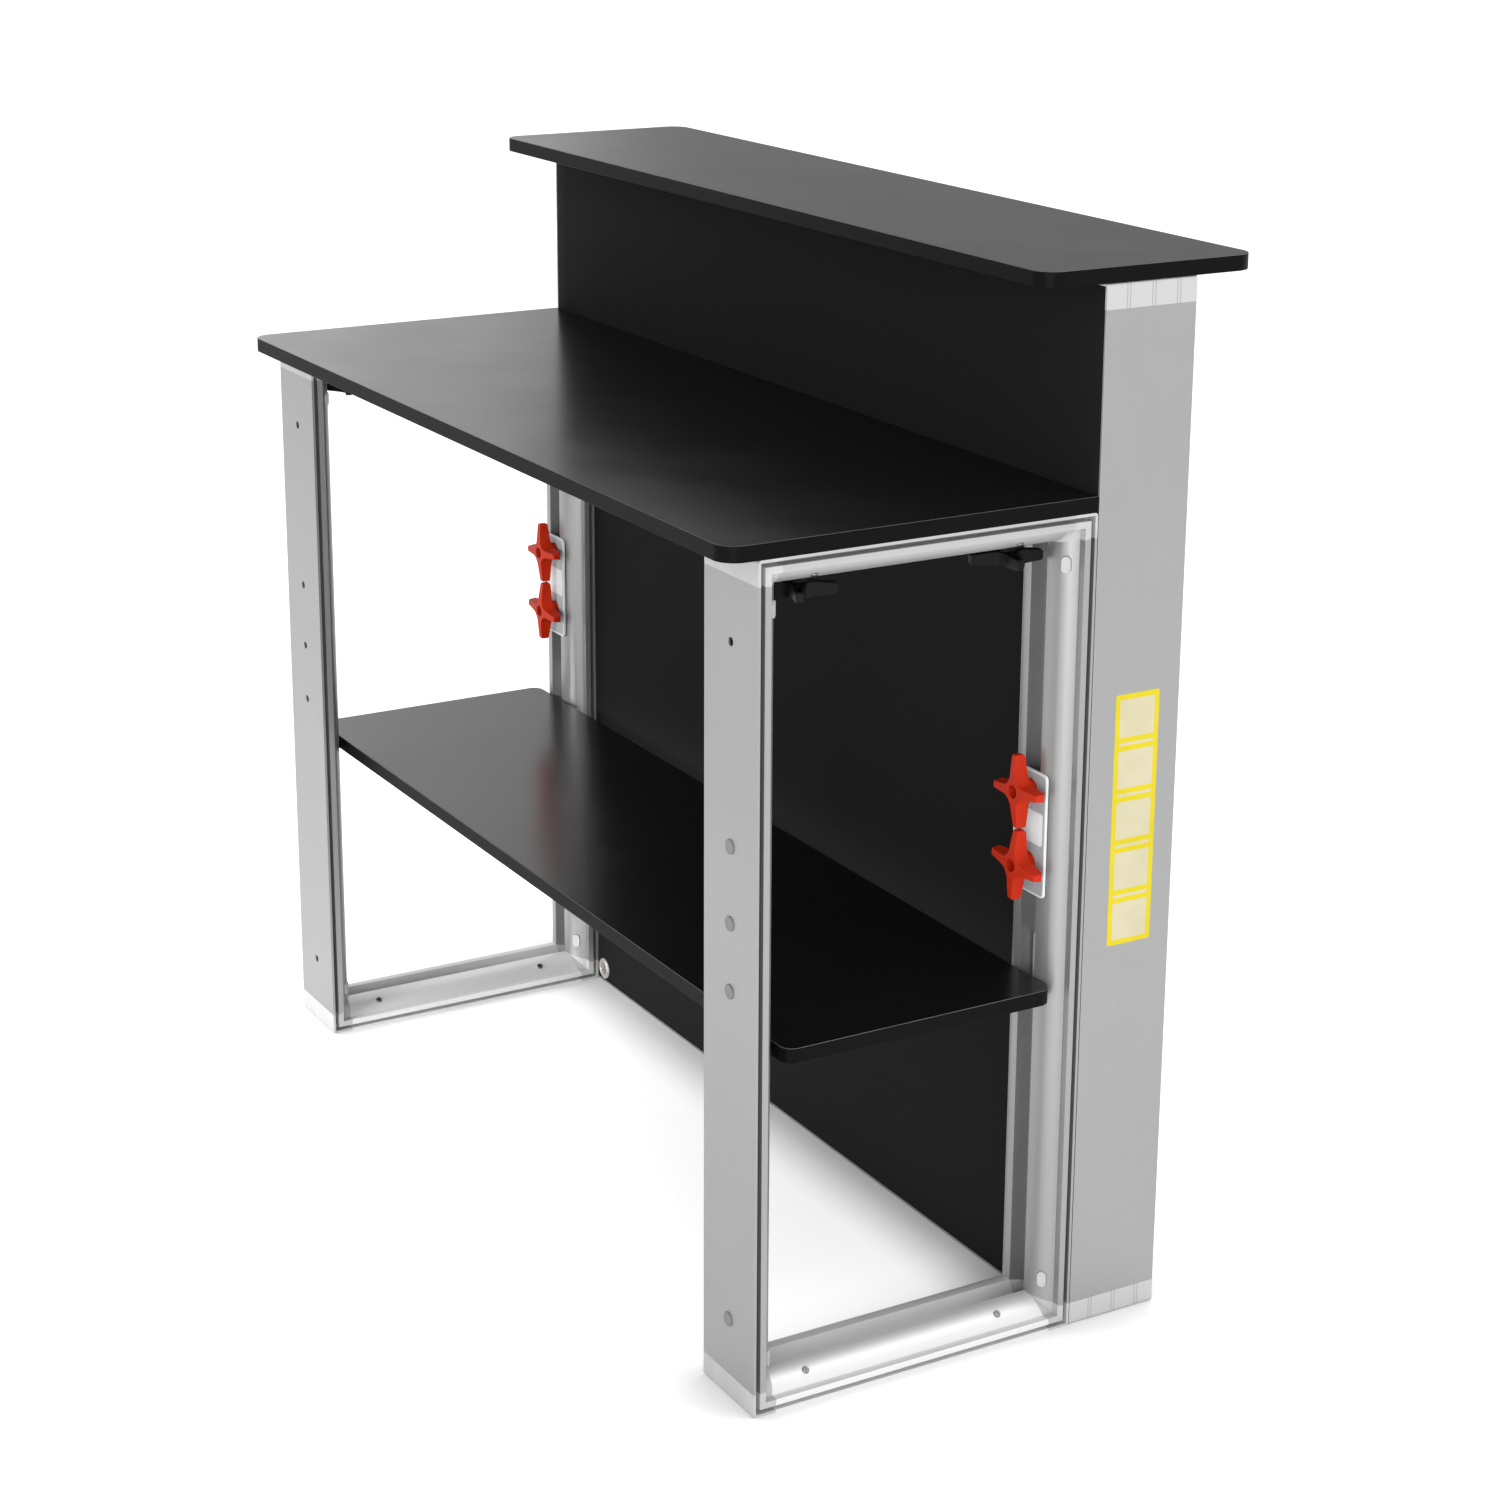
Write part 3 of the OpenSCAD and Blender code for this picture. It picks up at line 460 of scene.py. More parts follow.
# Black coated knit: a matt black that swallows light and turns faintly grey along the surface.
back_knit = knitted("black_coated_knit", "#141414", "#111111", "#1a1a1a", 0.14, 0.2)[0]
# White knit: a soft white glow painted into the cloth, standing in for the light of the lamp bars behind
# it, a little warmer or whiter in slow patches.
front_knit, glow_tree, glow_shader, where = knitted("white_knit_painted_glow", "#acacaa", "#a6a6a4", "#b4b4b1",
    0.2, 0.15, Emission_Strength=0.42)
# Painted light: the glow's colour goes from warm to whiter in slow patches, as lamps far apart would leave
# it.
glow = add(glow_tree, "TexNoise", {"Scale": GLOW_PATCHES, "Detail": 1.0}, {"Vector": where})
share = add(glow_tree, "MapRange", NOISE_SPAN, {"Value": glow})
painted_lamp_glow = add(glow_tree, "Mix", between("#f4f2ea", "#ffffff"), {0: share})
wire(glow_tree, glow_shader, {"Emission Color": painted_lamp_glow})
print("Made the two textiles")

# %% [markdown]
# The small metal pieces differ in how they were finished: zinc plated steel has a faint blue shine
# with cloudy patches, turned brass and nickel are smoother, and a milled bracket is a little rougher.

# %% Small metals
def plated(name, dark, light, roughness, patch_mm, metallic=1.0):
    """Plated or turned metal with cloudy patches."""
    material, tree, shader, where = start(name, light, roughness, metallic=metallic)
    patch = add(tree, "TexNoise", {"Scale": 1 / (patch_mm * MM), "Detail": 4.0}, {"Vector": where})
    share = add(tree, "MapRange", NOISE_SPAN, {"Value": patch})
    colour = add(tree, "Mix", between(dark, light), {0: share})
    shine = add(tree, "MapRange",
        {**NOISE_SPAN, "To Min": roughness - 0.06, "To Max": roughness + 0.08}, {"Value": patch})
    relief = add(tree, "Bump", {"Strength": 0.08, "Distance": 0.02 * MM}, {"Height": patch})
    surface(tree, shader, colour, shine, relief)
    return material


# Bright zinc plate on the brackets' bolts: a clear, slightly blue sparkle.
zinc = plated("zinc_plated_steel", "#bfc3c7", "#dfe2e5", 0.3, 4.0)
# The shelf's brackets: the same zinc painted paler and less metallic, nearly without reflections, as
# painted light on brackets that stand in the channel's shade.
bracket_zinc_painted_light = plated("zinc_plated_steel_painted_light", "#c6c8ca", "#e0e1e2", 0.5, 4.0, 0.4)
# The rails' screws: zinc painted darker, as painted shade round their sunk heads, so they show as dark
# dots in the pale rail.
screw_zinc_painted_shade = plated("zinc_plated_steel_painted_shade", "#6c6e70", "#9a9c9e", 0.35, 2.0)
# Black oxide on the clamps' studs: oily black steel.
black_oxide = plated("black_oxide_steel", "#1c1c1d", "#303032", 0.4, 2.0)
# Turned brass of the inserts and of the socket's pins: warm yellow with a clear shine.
brass = plated("turned_brass", "#a98843", "#c9a860", 0.25, 3.0)
# Nickel plate of the socket: a small bright ring low on the black textile.
nickel = plated("bright_nickel", "#cfcdca", "#e6e4e1", 0.3, 5.0, 0.8)
# Milled aluminium of the anchors and lamp bars: plain, clean metal.
milled = plated("milled_aluminium", "#a6a8aa", "#c8cacc", 0.35, 2.0)
print("Made", len(bpy.data.materials), "materials so far")

# %% [markdown]
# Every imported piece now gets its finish. A name tells what a piece is, so a short list of words is
# enough to dress all of them, and a piece that no word fits stops the lesson with an error.

# %% Which piece wears what
FINISHES = [("box_rail", aluminium_long), ("rail_screws", zinc), ("_rail_top", top_rail_aluminium_painted_shade),
    ("_rail_", low_rail_aluminium_painted_light), ("box_post", aluminium_up), ("_post_", aluminium_up),
    ("box_corner", ribbed_nylon), ("corner", corner_nylon), ("back_textile", back_knit),
    ("front_textile", front_knit), ("lamp_bars", milled), ("power_supply", case_paint),
    ("power_socket", nickel), ("anchor", milled), ("clamp_plate", white_abs), ("worktop_inserts", brass),
    ("worktop", laminate), ("bar_top", laminate), ("shelf_brackets", bracket_zinc_painted_light), ("shelf", laminate),
    ("bracket_bolts", zinc), ("hole_caps", cap_plastic), ("clamp_knob", red_nylon),
    ("top_knob", black_nylon), ("button", button_acetal)]


def dress(piece, *materials):
    """Gives a piece its materials and nothing else."""
    piece.data.materials.clear()
    for material in materials:
        piece.data.materials.append(material)
    return piece


for name, piece in nodes.items():
    dress(piece, next(material for word, material in FINISHES if word in name))
print("Dressed", len(nodes), "packed pieces")

# %% [markdown]
# No real edge is perfectly sharp. A die rounds an extrusion's edges by half a millimetre, a mould
# more, and a thin bright line along each edge is what makes the photograph look real. Edges could be
# picked one by one, but a bevel by angle finds them all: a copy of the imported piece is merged, freed
# of the lines inside its flat faces, and bevelled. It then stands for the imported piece, which hides.

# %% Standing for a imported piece
BODIES = frame["record"]["behaviour"]["bodies"]
BODY_OF = {node: body for body, members in BODIES.items() for node in members}


def stands_for(piece, name):
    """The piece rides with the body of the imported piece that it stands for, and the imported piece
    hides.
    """
    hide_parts(name)
    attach(piece, BODY_OF[name])
    return piece


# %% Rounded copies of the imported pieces
FLAT_TO, EDGE_FROM = math.radians(0.5), math.radians(28)


def rounded(name, width, segments):
    """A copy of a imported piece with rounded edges."""
    piece = placed(name + "_rounded", nodes[name].data.copy())
    alone(piece)
    bpy.ops.object.mode_set(mode="EDIT")
    bpy.ops.mesh.select_all(action="SELECT")
    bpy.ops.mesh.remove_doubles(threshold=2e-6)
    bpy.ops.mesh.dissolve_limited(angle_limit=FLAT_TO)
    bpy.ops.object.mode_set(mode="OBJECT")
    modified(piece, "BEVEL", width=width, segments=segments, limit_method="ANGLE",
        angle_limit=EDGE_FROM, harden_normals=False, miter_outer="MITER_ARC")
    bpy.ops.object.shade_smooth_by_angle(angle=math.radians(35))
    modified(piece, "WEIGHTED_NORMAL", keep_sharp=True, weight=80)
    return piece


# How far each kind of piece is rounded, in mm; the first word that fits counts.
BOARD_EDGE = 0.8
EDGE_WIDTHS = [("_knob_", 0.7), ("worktop_inserts", 0), ("_post_", 0.35), ("box_post", 0.35),
    ("box_rail", 0.35), ("_rail_", 0.35), ("corner", 0.5), ("clamp_plate", 0.6),
    ("shelf_brackets", 0.3), ("button", 0.7), ("anchor", 0.4),
    ("worktop", BOARD_EDGE), ("bar_top", BOARD_EDGE), ("shelf", BOARD_EDGE)]
rounded_pieces = {}
for name in nodes:
    width = next((w for word, w in EDGE_WIDTHS if word in name), 0)
    if width:
        piece = rounded(name, width * MM, 3 if width == BOARD_EDGE else 2)
        rounded_pieces[name] = stands_for(piece, name)
print("Rounded", len(rounded_pieces), "pieces")

# %% [markdown]
# Some pieces wear two finishes. A knob is red or black nylon, but the end of its steel stud shows in
# its front hole, and the hole's walls get a near-black red as painted shade. On the boards the edge
# band covers every face that isn't level, and the upward sloping arris gets a paler grey as a painted
# highlight. On a clamp plate the field behind the raised rim is painted greyer as painted shade. The
# faces are picked by where they lie: round an axis, at a height, or by their slope.

# %% Second finishes on the knobs
STUD_R, HOLE_R, HOLE_LIP = 4.1 * MM, 7.0 * MM, 0.5 * MM
FRAME_X = 530 * MM  # the side frames' middle, on either side of the counter's middle


def second_finish(name, material, wanted):
    """Gives a second material to the faces that the test wants, and counts them."""
    piece = rounded_pieces[name]
    piece.data.materials.append(material)
    faces = [face for face in piece.data.polygons if wanted(face)]
    for face in faces:
        face.material_index = len(piece.data.materials) - 1
    return len(faces)


def near_axis(name, radius, front=math.inf):
    """The test for faces within a radius of a knob's axis and behind its front."""
    low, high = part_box(name)
    across = (0, 2) if "clamp" in name else (0, 1)
    centre = (math.copysign(FRAME_X, low[0]), (low[1] + high[1]) / 2, (low[2] + high[2]) / 2)
    corners = rounded_pieces[name].data.vertices
    off_axis = lambda point: math.dist([point[i] for i in across], [centre[i] for i in across])
    return lambda face: all(corners[v].co.y < front and off_axis(corners[v].co) < radius
        for v in face.vertices)


for name in [n for n in nodes if "_knob_" in n]:
    if "clamp" in name:
        # Painted shade: the faces inside the front hole, behind its lip, get the near-black red.
        in_hole = near_axis(name, HOLE_R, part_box(name)[1][1] - HOLE_LIP)
        print(name, "has", second_finish(name, bore_nylon_painted_shade, in_hole), "faces in its front hole")
    print(name, "has", second_finish(name, black_oxide, near_axis(name, STUD_R)), "stud faces")

# %% Second finishes on the boards and plates
FIELD_DEPTH = 1.0 * MM
for name in ("worktop", "bar_top", "shelf"):
    print(name, "has", second_finish(name, band, lambda f: abs(f.normal.z) < 0.98), "banded faces")
    # Painted highlight: the upward sloping faces of the rounded top edge get the paler grey.
    second_finish(name, arris, lambda f: 0.3 < f.normal.z < 0.9)
for name in ("clamp_plate_near", "clamp_plate_far"):
    field_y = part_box(name)[1][1] - FIELD_DEPTH
    # Painted shade: the field's faces behind the rim get the greyer finish.
    in_field = lambda f: f.normal.y > SQUARE_ON and abs(f.center.y - field_y) < 0.3 * MM
    print(name, "has", second_finish(name, field_abs_painted_shade, in_field), "field faces")

# %% [markdown]
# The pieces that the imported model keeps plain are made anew, as by hand. Each starts as a block or a
# cylinder of its real size and is then inset, pushed in, cut and bevelled. What repeats is made once
# and copied, and every copy has its own mesh.

# %% Blocks and cylinders to shape
def named(name):
    """Names the object that the last operator made, and takes its place and size into its mesh."""
    piece = alone(bpy.context.object)
    piece.name = name
    piece.data.name = name
    bpy.ops.object.transform_apply(location=True, rotation=True, scale=True)
    return piece


def block(name, size, place):
    """A cube of a given size at a given place, to be shaped further."""
    nothing()
    bpy.ops.mesh.primitive_cube_add(size=1, location=place)
    bpy.context.object.scale = size
    return named(name)


def round_block(name, radius, low, high, sides=48):
    """A cylinder round the z axis between two heights, to be shaped further."""
    nothing()
    bpy.ops.mesh.primitive_cylinder_add(vertices=sides, radius=radius, depth=high - low,
        location=(0, 0, (low + high) / 2))
    return named(name)


print("Blocks have 6 faces to start from, cylinders 50")

# %% Joining, cutting and copying
def joined(name, *pieces):
    """Joins pieces into the first one, with all their materials."""
    alone(pieces[0])
    for piece in pieces[1:]:
        piece.select_set(True)
    bpy.ops.object.join()
    return named(name)


def cut(piece, tool):
    """Takes the tool's shape out of the piece, and throws the tool away."""
    modified(piece, "BOOLEAN", operation="DIFFERENCE", object=tool, solver="EXACT")
    bpy.data.objects.remove(tool)
    return piece


def copied(piece, name, matrix):
    """A copy with its own mesh, moved there in its mesh."""
    copy = placed(name, piece.data.copy())
    copy.matrix_world = matrix
    alone(copy)
    bpy.ops.object.transform_apply(location=True, rotation=True, scale=True)
    return copy


def repeated(master, name, matrices):
    """Copies of one model, joined into one piece; the model itself goes."""
    copies = [copied(master, name + "_copy", matrix) for matrix in matrices]
    bpy.data.objects.remove(master)
    return joined(name, *copies)


# %% [markdown]
# Between its two knobs a clamp plate has a slightly raised panel, where a moulder leaves the surface
# smooth. A thin block is pulled into shape on the plate's field, and its rim is bevelled.

# %% The plates' raised panels
PANEL, PANEL_RISE, PANEL_Z = (42 * MM, 0.4 * MM, 34 * MM), 0.35 * MM, 537.5 * MM
PANEL_CORNER, PANEL_RIM = 3 * MM, 0.15 * MM
for name in ("clamp_plate_near", "clamp_plate_far"):
    low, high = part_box(name)
    place = ((low[0] + high[0]) / 2, high[1] - FIELD_DEPTH + PANEL_RISE - PANEL[1] / 2, PANEL_Z)
    panel = dress(block(name + "_panel", PANEL, place), white_abs)
    bevelled(panel, lambda e: abs(e.verts[0].co.y - e.verts[1].co.y) > PANEL[1] / 2, PANEL_CORNER, 5)
    bevelled(panel, lambda e: min(v.co.y for v in e.verts) > high[1] - 0.7 * MM, PANEL_RIM, 2)
    done(panel)
    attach(panel, BODY_OF[name])
print("Raised a panel on each clamp plate")

# %% [markdown]
# A stretched textile is a flat knit, cut to the size of the box and sewn to a thin silicone strip all
# round. The strip is pushed into the groove behind the lip, so the cloth turns a sharp corner there.
# It is too tight to hang or fold, so it needs no cloth simulation: a grid is laid over the opening,
# its border is pulled inwards, and the turned edge is rounded. The holes for the studs and for the
# socket are cut last. The strip is a piece of its own.

# %% The textiles' edge strips
BOX_WIDTH, BOX_HEIGHT = 1160 * MM, 1084 * MM
TURN_IN, CLOTH, EDGE_IN = 11 * MM, 0.8 * MM, 3.6 * MM
STRIP, STRIP_BACK, STRIP_SHORT = 2.4 * MM, 0.6 * MM, 1.4 * MM
ROUND_TO = math.radians(40)


def edge_strip(name, face, inward):
    """The silicone strip in the groove, inside the turned edge of the cloth."""
    outer, depth = EDGE_IN + CLOTH, TURN_IN - STRIP_SHORT
    wide, tall = BOX_WIDTH - 2 * outer, BOX_HEIGHT - 2 * outer
    strip = block(name, (wide, depth, tall),
        (0, face + inward * (STRIP_BACK + depth / 2), BOX_HEIGHT / 2))
    tool = block("opening", (wide - 2 * STRIP, 4 * depth, tall - 2 * STRIP),
        (0, face + inward * depth / 2, BOX_HEIGHT / 2))
    cut(strip, tool)
    modified(strip, "BEVEL", width=0.5 * MM, segments=2, limit_method="ANGLE", angle_limit=ROUND_TO)
    bpy.ops.object.shade_smooth_by_angle(angle=ROUND_TO)
    return dress(strip, silicone)


print("An edge strip is", round(STRIP / MM, 1), "mm thick")

# %% A stretched textile
CLOTH_OUT = 0.9 * MM  # how far the cloth's middle lies outside the frame's face, and its turned radius


def stretched(name, face, inward, material, holes):
    """A textile on one open side of the lit box; inward is the way in, along y."""
    size = Vector((BOX_WIDTH - 2 * EDGE_IN, 1, BOX_HEIGHT - 2 * EDGE_IN))
    outside = face - inward * CLOTH_OUT
    nothing()
    bpy.ops.mesh.primitive_grid_add(x_subdivisions=48, y_subdivisions=44, size=1,
        location=(0, outside, BOX_HEIGHT / 2), rotation=(math.radians(90), 0, 0))
    cloth = bpy.context.object
    bpy.ops.object.transform_apply(location=False, rotation=True, scale=True)
    cloth.scale = size
    named(name)
    pick(cloth, "EDGE", lambda e: e.is_boundary)
    bpy.ops.mesh.extrude_region_move(TRANSFORM_OT_translate={"value": (0, inward * TURN_IN, 0)})
    at_rim = lambda v: abs(v.co.y - outside) < 1e-6 and (abs(abs(v.co.x) - size.x / 2) < 1e-6
        or abs(abs(v.co.z - BOX_HEIGHT / 2) - size.z / 2) < 1e-6)
    bevelled(cloth, lambda e: not e.is_boundary and all(at_rim(v) for v in e.verts), CLOTH_OUT, 2)
    done(cloth)
    outwards = sum(f.normal.y * f.area for f in cloth.data.polygons)
    modified(cloth, "SOLIDIFY", thickness=CLOTH, offset=-1 if outwards * inward < 0 else 1)
    for x, z, radius in holes:
        tool = round_block("punch", radius, -30 * MM, 30 * MM, 32)
        tool.rotation_euler = (math.radians(90), 0, 0)
        tool.location = (x, face, z)
        cut(cloth, tool)
    bpy.ops.object.shade_smooth_by_angle(angle=ROUND_TO)
    return dress(cloth, material), edge_strip(name + "_edge_strip", face, inward)


print("The cloth is", round(CLOTH / MM, 1), "mm thick")

# %% The two textiles in place
BACK_FACE, FRONT_FACE = -116.5 * MM, -222.5 * MM
SOCKET_X, SOCKET_Z = 462 * MM, 20 * MM
STUD_ZS, STUD_HOLE_R, SOCKET_HOLE_R = (499 * MM, 576 * MM), 4.5 * MM, 8.8 * MM
holes = [(x, z, STUD_HOLE_R) for x in (-FRAME_X, FRAME_X) for z in STUD_ZS]
holes.append((SOCKET_X, SOCKET_Z, SOCKET_HOLE_R))
back_cloth, back_strip = stretched("back_textile_cloth", BACK_FACE, -1, back_knit, holes)
front_cloth, front_strip = stretched("front_textile_cloth", FRONT_FACE, 1, front_knit, [])
for cloth, strip, node in ((back_cloth, back_strip, "back_textile"),
        (front_cloth, front_strip, "front_textile")):
    stands_for(cloth, node)
    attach(strip, BODY_OF[node])
print("Stretched two textiles,", len(back_cloth.data.polygons), "faces in the one with holes")

# %% [markdown]
# The sign on the end of the box is printed vinyl with rounded corners: a strong yellow ground, five
# cream fields one above the other, and a thin cream bar between each two. Its fields are left bare.
# A material could paint it, but plates keep their crisp edges: one thin plate for the ground, and a
# still thinner one on it for each field and bar.

# %% The sign on the end post
SIGN_Y, SIGN_Z = (-198.5 * MM, -145.5 * MM), (413 * MM, 676 * MM)
SIGN_T, FIELD_T, BORDER = 0.1 * MM, 0.03 * MM, 5.5 * MM
FIELD_GAP, BAR_UP, BAR_H = 14 * MM, 5.4 * MM, 3.2 * MM
SIGN_CORNER, FIELD_CORNER = 2.5 * MM, 0.6 * MM


def sign_plate(name, y_range, z_range, low, high, corner, material):
    """A thin plate on the end face, from one height above the face to another."""
    plate = block(name, (high - low, y_range[1] - y_range[0], z_range[1] - z_range[0]),
        (-BOX_WIDTH / 2 - (low + high) / 2, sum(y_range) / 2, sum(z_range) / 2))
    bevelled(plate, lambda e: abs(e.verts[0].co.x - e.verts[1].co.x) > (high - low) / 2, corner, 4)
    return dress(done(plate), material)


field_h = (SIGN_Z[1] - SIGN_Z[0] - 2 * BORDER - 4 * FIELD_GAP) / 5
strips = []
for i in range(5):
    low = SIGN_Z[0] + BORDER + i * (field_h + FIELD_GAP)
    strips.append((low, low + field_h))
    if i < 4:
        bar = low + field_h + BAR_UP
        strips.append((bar, bar + BAR_H))
field_y = (SIGN_Y[0] + BORDER, SIGN_Y[1] - BORDER)
sign = [sign_plate("sign_ground", SIGN_Y, SIGN_Z, 0, SIGN_T, SIGN_CORNER, yellow_vinyl)]
for z_range in strips:
    sign.append(sign_plate("field", field_y, z_range, SIGN_T, SIGN_T + FIELD_T, FIELD_CORNER, cream_print))
sign = joined("bare_sign", *sign)
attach(sign, BODY_OF["box_post_near"])
print("Stuck the sign on, with", len(strips), "cream fields and bars")

# %% [markdown]
# The socket low on the back takes the round plug of the low-voltage lead. A bright metal barrel with
# two pins is held by a ring from outside and by a nut from inside. Cylinders are inset and pushed in
# on the z axis, and the finished socket is then laid over to face the operator.

# %% The socket's barrel and ring
BARREL_R, BARREL_BACK, BARREL_FRONT = 8.5 * MM, -25 * MM, 3 * MM
BARREL_WALL, MOUTH_DEPTH = 1.9 * MM, 13.5 * MM
RING_R, RING_BACK, RING_FRONT = 13.5 * MM, 1 * MM, 2.6 * MM
RING_RIM, RING_STEP, RING_HOLE_R = 2.2 * MM, 0.6 * MM, 8.55 * MM

barrel = dress(round_block("barrel", BARREL_R, BARREL_BACK, BARREL_FRONT, 64), nickel)
sunk(barrel, BARREL_WALL, MOUTH_DEPTH)
bevelled(barrel, above(BARREL_FRONT - 0.1 * MM), 0.5 * MM, 3)
done(barrel)
ring = dress(round_block("ring", RING_R, RING_BACK, RING_FRONT, 64), nickel)
sunk(ring, RING_RIM, RING_STEP)
bevelled(ring, above(RING_FRONT - 0.1 * MM), 0.45 * MM, 3)
cut(ring, round_block("ring_hole", RING_HOLE_R, -10 * MM, 10 * MM, 64))
done(ring)
print("Turned the barrel and its ring")

# %% The socket's floor and pins
FLOOR_R, FLOOR_BACK, FLOOR_FRONT = 6.5 * MM, -10.6 * MM, -8.6 * MM
PIN_R, PIN_BACK, PIN_FRONT, PIN_OFF = 1.25 * MM, -10 * MM, -0.6 * MM, 4.33 * MM

floor_disc = dress(round_block("insulator", FLOOR_R, FLOOR_BACK, FLOOR_FRONT), black_nylon)
bevelled(floor_disc, above(FLOOR_FRONT - 0.1 * MM), 0.4 * MM, 2)
done(floor_disc)
pin = dress(round_block("pin", PIN_R, PIN_BACK, PIN_FRONT, 24), brass)
bevelled(pin, above(PIN_FRONT - 0.1 * MM), 0.9 * MM, 3)
done(pin)
pins = repeated(pin, "pins", [Matrix.Translation((0, side * PIN_OFF, 0)) for side in (-1, 1)])
socket = joined("power_socket_upright", barrel, ring, floor_disc, pins)
socket = repeated(socket, "power_socket_barrel", [Matrix.Translation((SOCKET_X, BACK_FACE, SOCKET_Z))
    @ Matrix.Rotation(math.radians(-90), 4, "X")])
stands_for(socket, "power_socket")
print("Modelled the power socket with", len(socket.data.polygons), "faces")

# %% [markdown]
# Screws and bolts are lathed and pressed. One function makes a head with a domed rim, a recess for
# the driver and a plain shank. The rails' screws have a cross recess and sit on the curved wall, so
# their axes lean outwards. The brackets' bolts have a hexagon socket.

# %% A screw or bolt
def fastener(name, head_r, head_t, dome, shank_r, shank_l, recess, material):
    """A screw along z with the underside of its head at z = 0."""
    head = dress(round_block("head", head_r, 0, head_t, 40), material)
    bevelled(head, above(head_t - 1e-6), dome, 4)
    done(head)
    if recess == "cross":
        for size in ((head_r * 1.15, head_r * 0.26), (head_r * 0.26, head_r * 1.15)):
            cut(head, block("slot", (*size, 1.6 * head_t), (0, 0, head_t * 1.15)))
    else:
        cut(head, round_block("socket_tool", head_r * 0.46, head_t * 0.35, head_t * 1.5, 6))
    shank = dress(round_block("shank", shank_r, -shank_l, head_t * 0.3, 24), material)
    bevelled(shank, below(-shank_l + 1e-6), shank_r * 0.35, 2)
    done(shank)
    return done(joined(name, head, shank))


rail_screw = fastener("rail_screw", 3.7 * MM, 1.6 * MM, 0.95 * MM, 1.9 * MM, 13 * MM, "cross", screw_zinc_painted_shade)
bolt = fastener("bracket_bolt", 3.5 * MM, 2.2 * MM, 0.8 * MM, 1.95 * MM, 5 * MM, "hexagon", zinc)
print("A screw has", len(rail_screw.data.polygons), "faces, a bolt", len(bolt.data.polygons))

# %% The rails' screws
WALL_U, WALL_V, WALL_R, SCREW_LEAN = 33 * MM, 5 * MM, 26 * MM, math.radians(52)
FRAME_OUTER_XS, SCREW_YS, FRAME_TOP = (-580 * MM, 480 * MM), (-37.5 * MM, 190.5 * MM), 864 * MM
screw_places = []
for x in FRAME_OUTER_XS:
    for y in SCREW_YS:
        for top in (False, True):
            out = Vector((-math.cos(SCREW_LEAN), 0, math.sin(SCREW_LEAN)))
            spot = Vector((x + WALL_U, y, WALL_V)) + out * WALL_R
            if top:
                out.z, spot.z = -out.z, FRAME_TOP - spot.z
            leaned = out.to_track_quat("Z", "Y").to_matrix().to_4x4()
            screw_places.append(Matrix.Translation(spot) @ leaned)
stands_for(repeated(rail_screw, "rail_screws_pressed", screw_places), "rail_screws")
print("Placed", len(screw_places), "screws")

# %% The brackets' bolts
POST_FACE_IN, BOLT_ZS = 16.5 * MM, (384.5 * MM, 411.5 * MM)
POST_OUTERS = ((-115.5 * MM, 1), (259.5 * MM, -1))  # a post's outer face, and the way in from it
bolt_places = []
for x in (-FRAME_X, FRAME_X):
    for z in BOLT_ZS:
        for face, way in POST_OUTERS:
            turned = Matrix.Rotation(math.radians(-90 * way), 4, "X")
            bolt_places.append(Matrix.Translation((x, face + way * POST_FACE_IN, z)) @ turned)
stands_for(repeated(bolt, "bracket_bolts_turned", bolt_places), "bracket_bolts")
print("Placed", len(bolt_places), "bolts")

# %% [markdown]
# A hole cap is a dished disc on a short stem that is pressed into a hole of the near post. The disc's
# rim is rounded and its top pushed in a little; the stem is a second cylinder, joined to it.

# %% The hole caps
CAP_R, CAP_T, CAP_RIM, CAP_DISH = 7.5 * MM, 1.5 * MM, 1.2 * MM, 0.25 * MM
STEM_R, STEM_L, CAP_ZS = 4.2 * MM, 5 * MM, (84.5, 430, 499, 576)
cap = dress(round_block("cap", CAP_R, 0, CAP_T), cap_plastic)
bevelled(cap, above(CAP_T - 0.1 * MM), 0.7 * MM, 4)
pick(cap, "FACE", lambda f: f.normal.z > 0.99)
bpy.ops.mesh.inset(thickness=CAP_RIM, depth=-CAP_DISH)
done(cap)
stem = dress(round_block("stem", STEM_R, -STEM_L, 0.5 * MM, 32), cap_plastic)
bevelled(stem, below(0.1 * MM - STEM_L), 0.8 * MM, 2)
done(stem)
cap_places = [Matrix.Translation((-FRAME_X, POST_OUTERS[1][0], z * MM))
    @ Matrix.Rotation(math.radians(-90), 4, "X") for z in CAP_ZS]
stands_for(repeated(joined("cap_with_stem", cap, stem), "hole_caps_moulded", cap_places), "hole_caps")
print("Pressed in", len(cap_places), "caps")

# %% [markdown]
# Inside the box a lamp bar stands in the channel of each post and faces the middle through a row of
# lenses. Neither it nor the power supply shows, but both are there. In the real box the bars light the
# cloth; here they give no light, and the cloth's glow is painted. A lens is a cylinder with a wide
# bevel, made once and copied along the bar.

# %% Lamp bars
LAMP_X, BOX_MIDDLE_Y, LAMP_Z = 566 * MM, -169.5 * MM, 542 * MM
BAR_SIZE, LENS_R, LENS_T = (4 * MM, 20 * MM, 794 * MM), 6.5 * MM, 5 * MM
LENS_COUNT, LENS_STEP, LENS_FOOT = 16, 49 * MM, 2.8 * MM

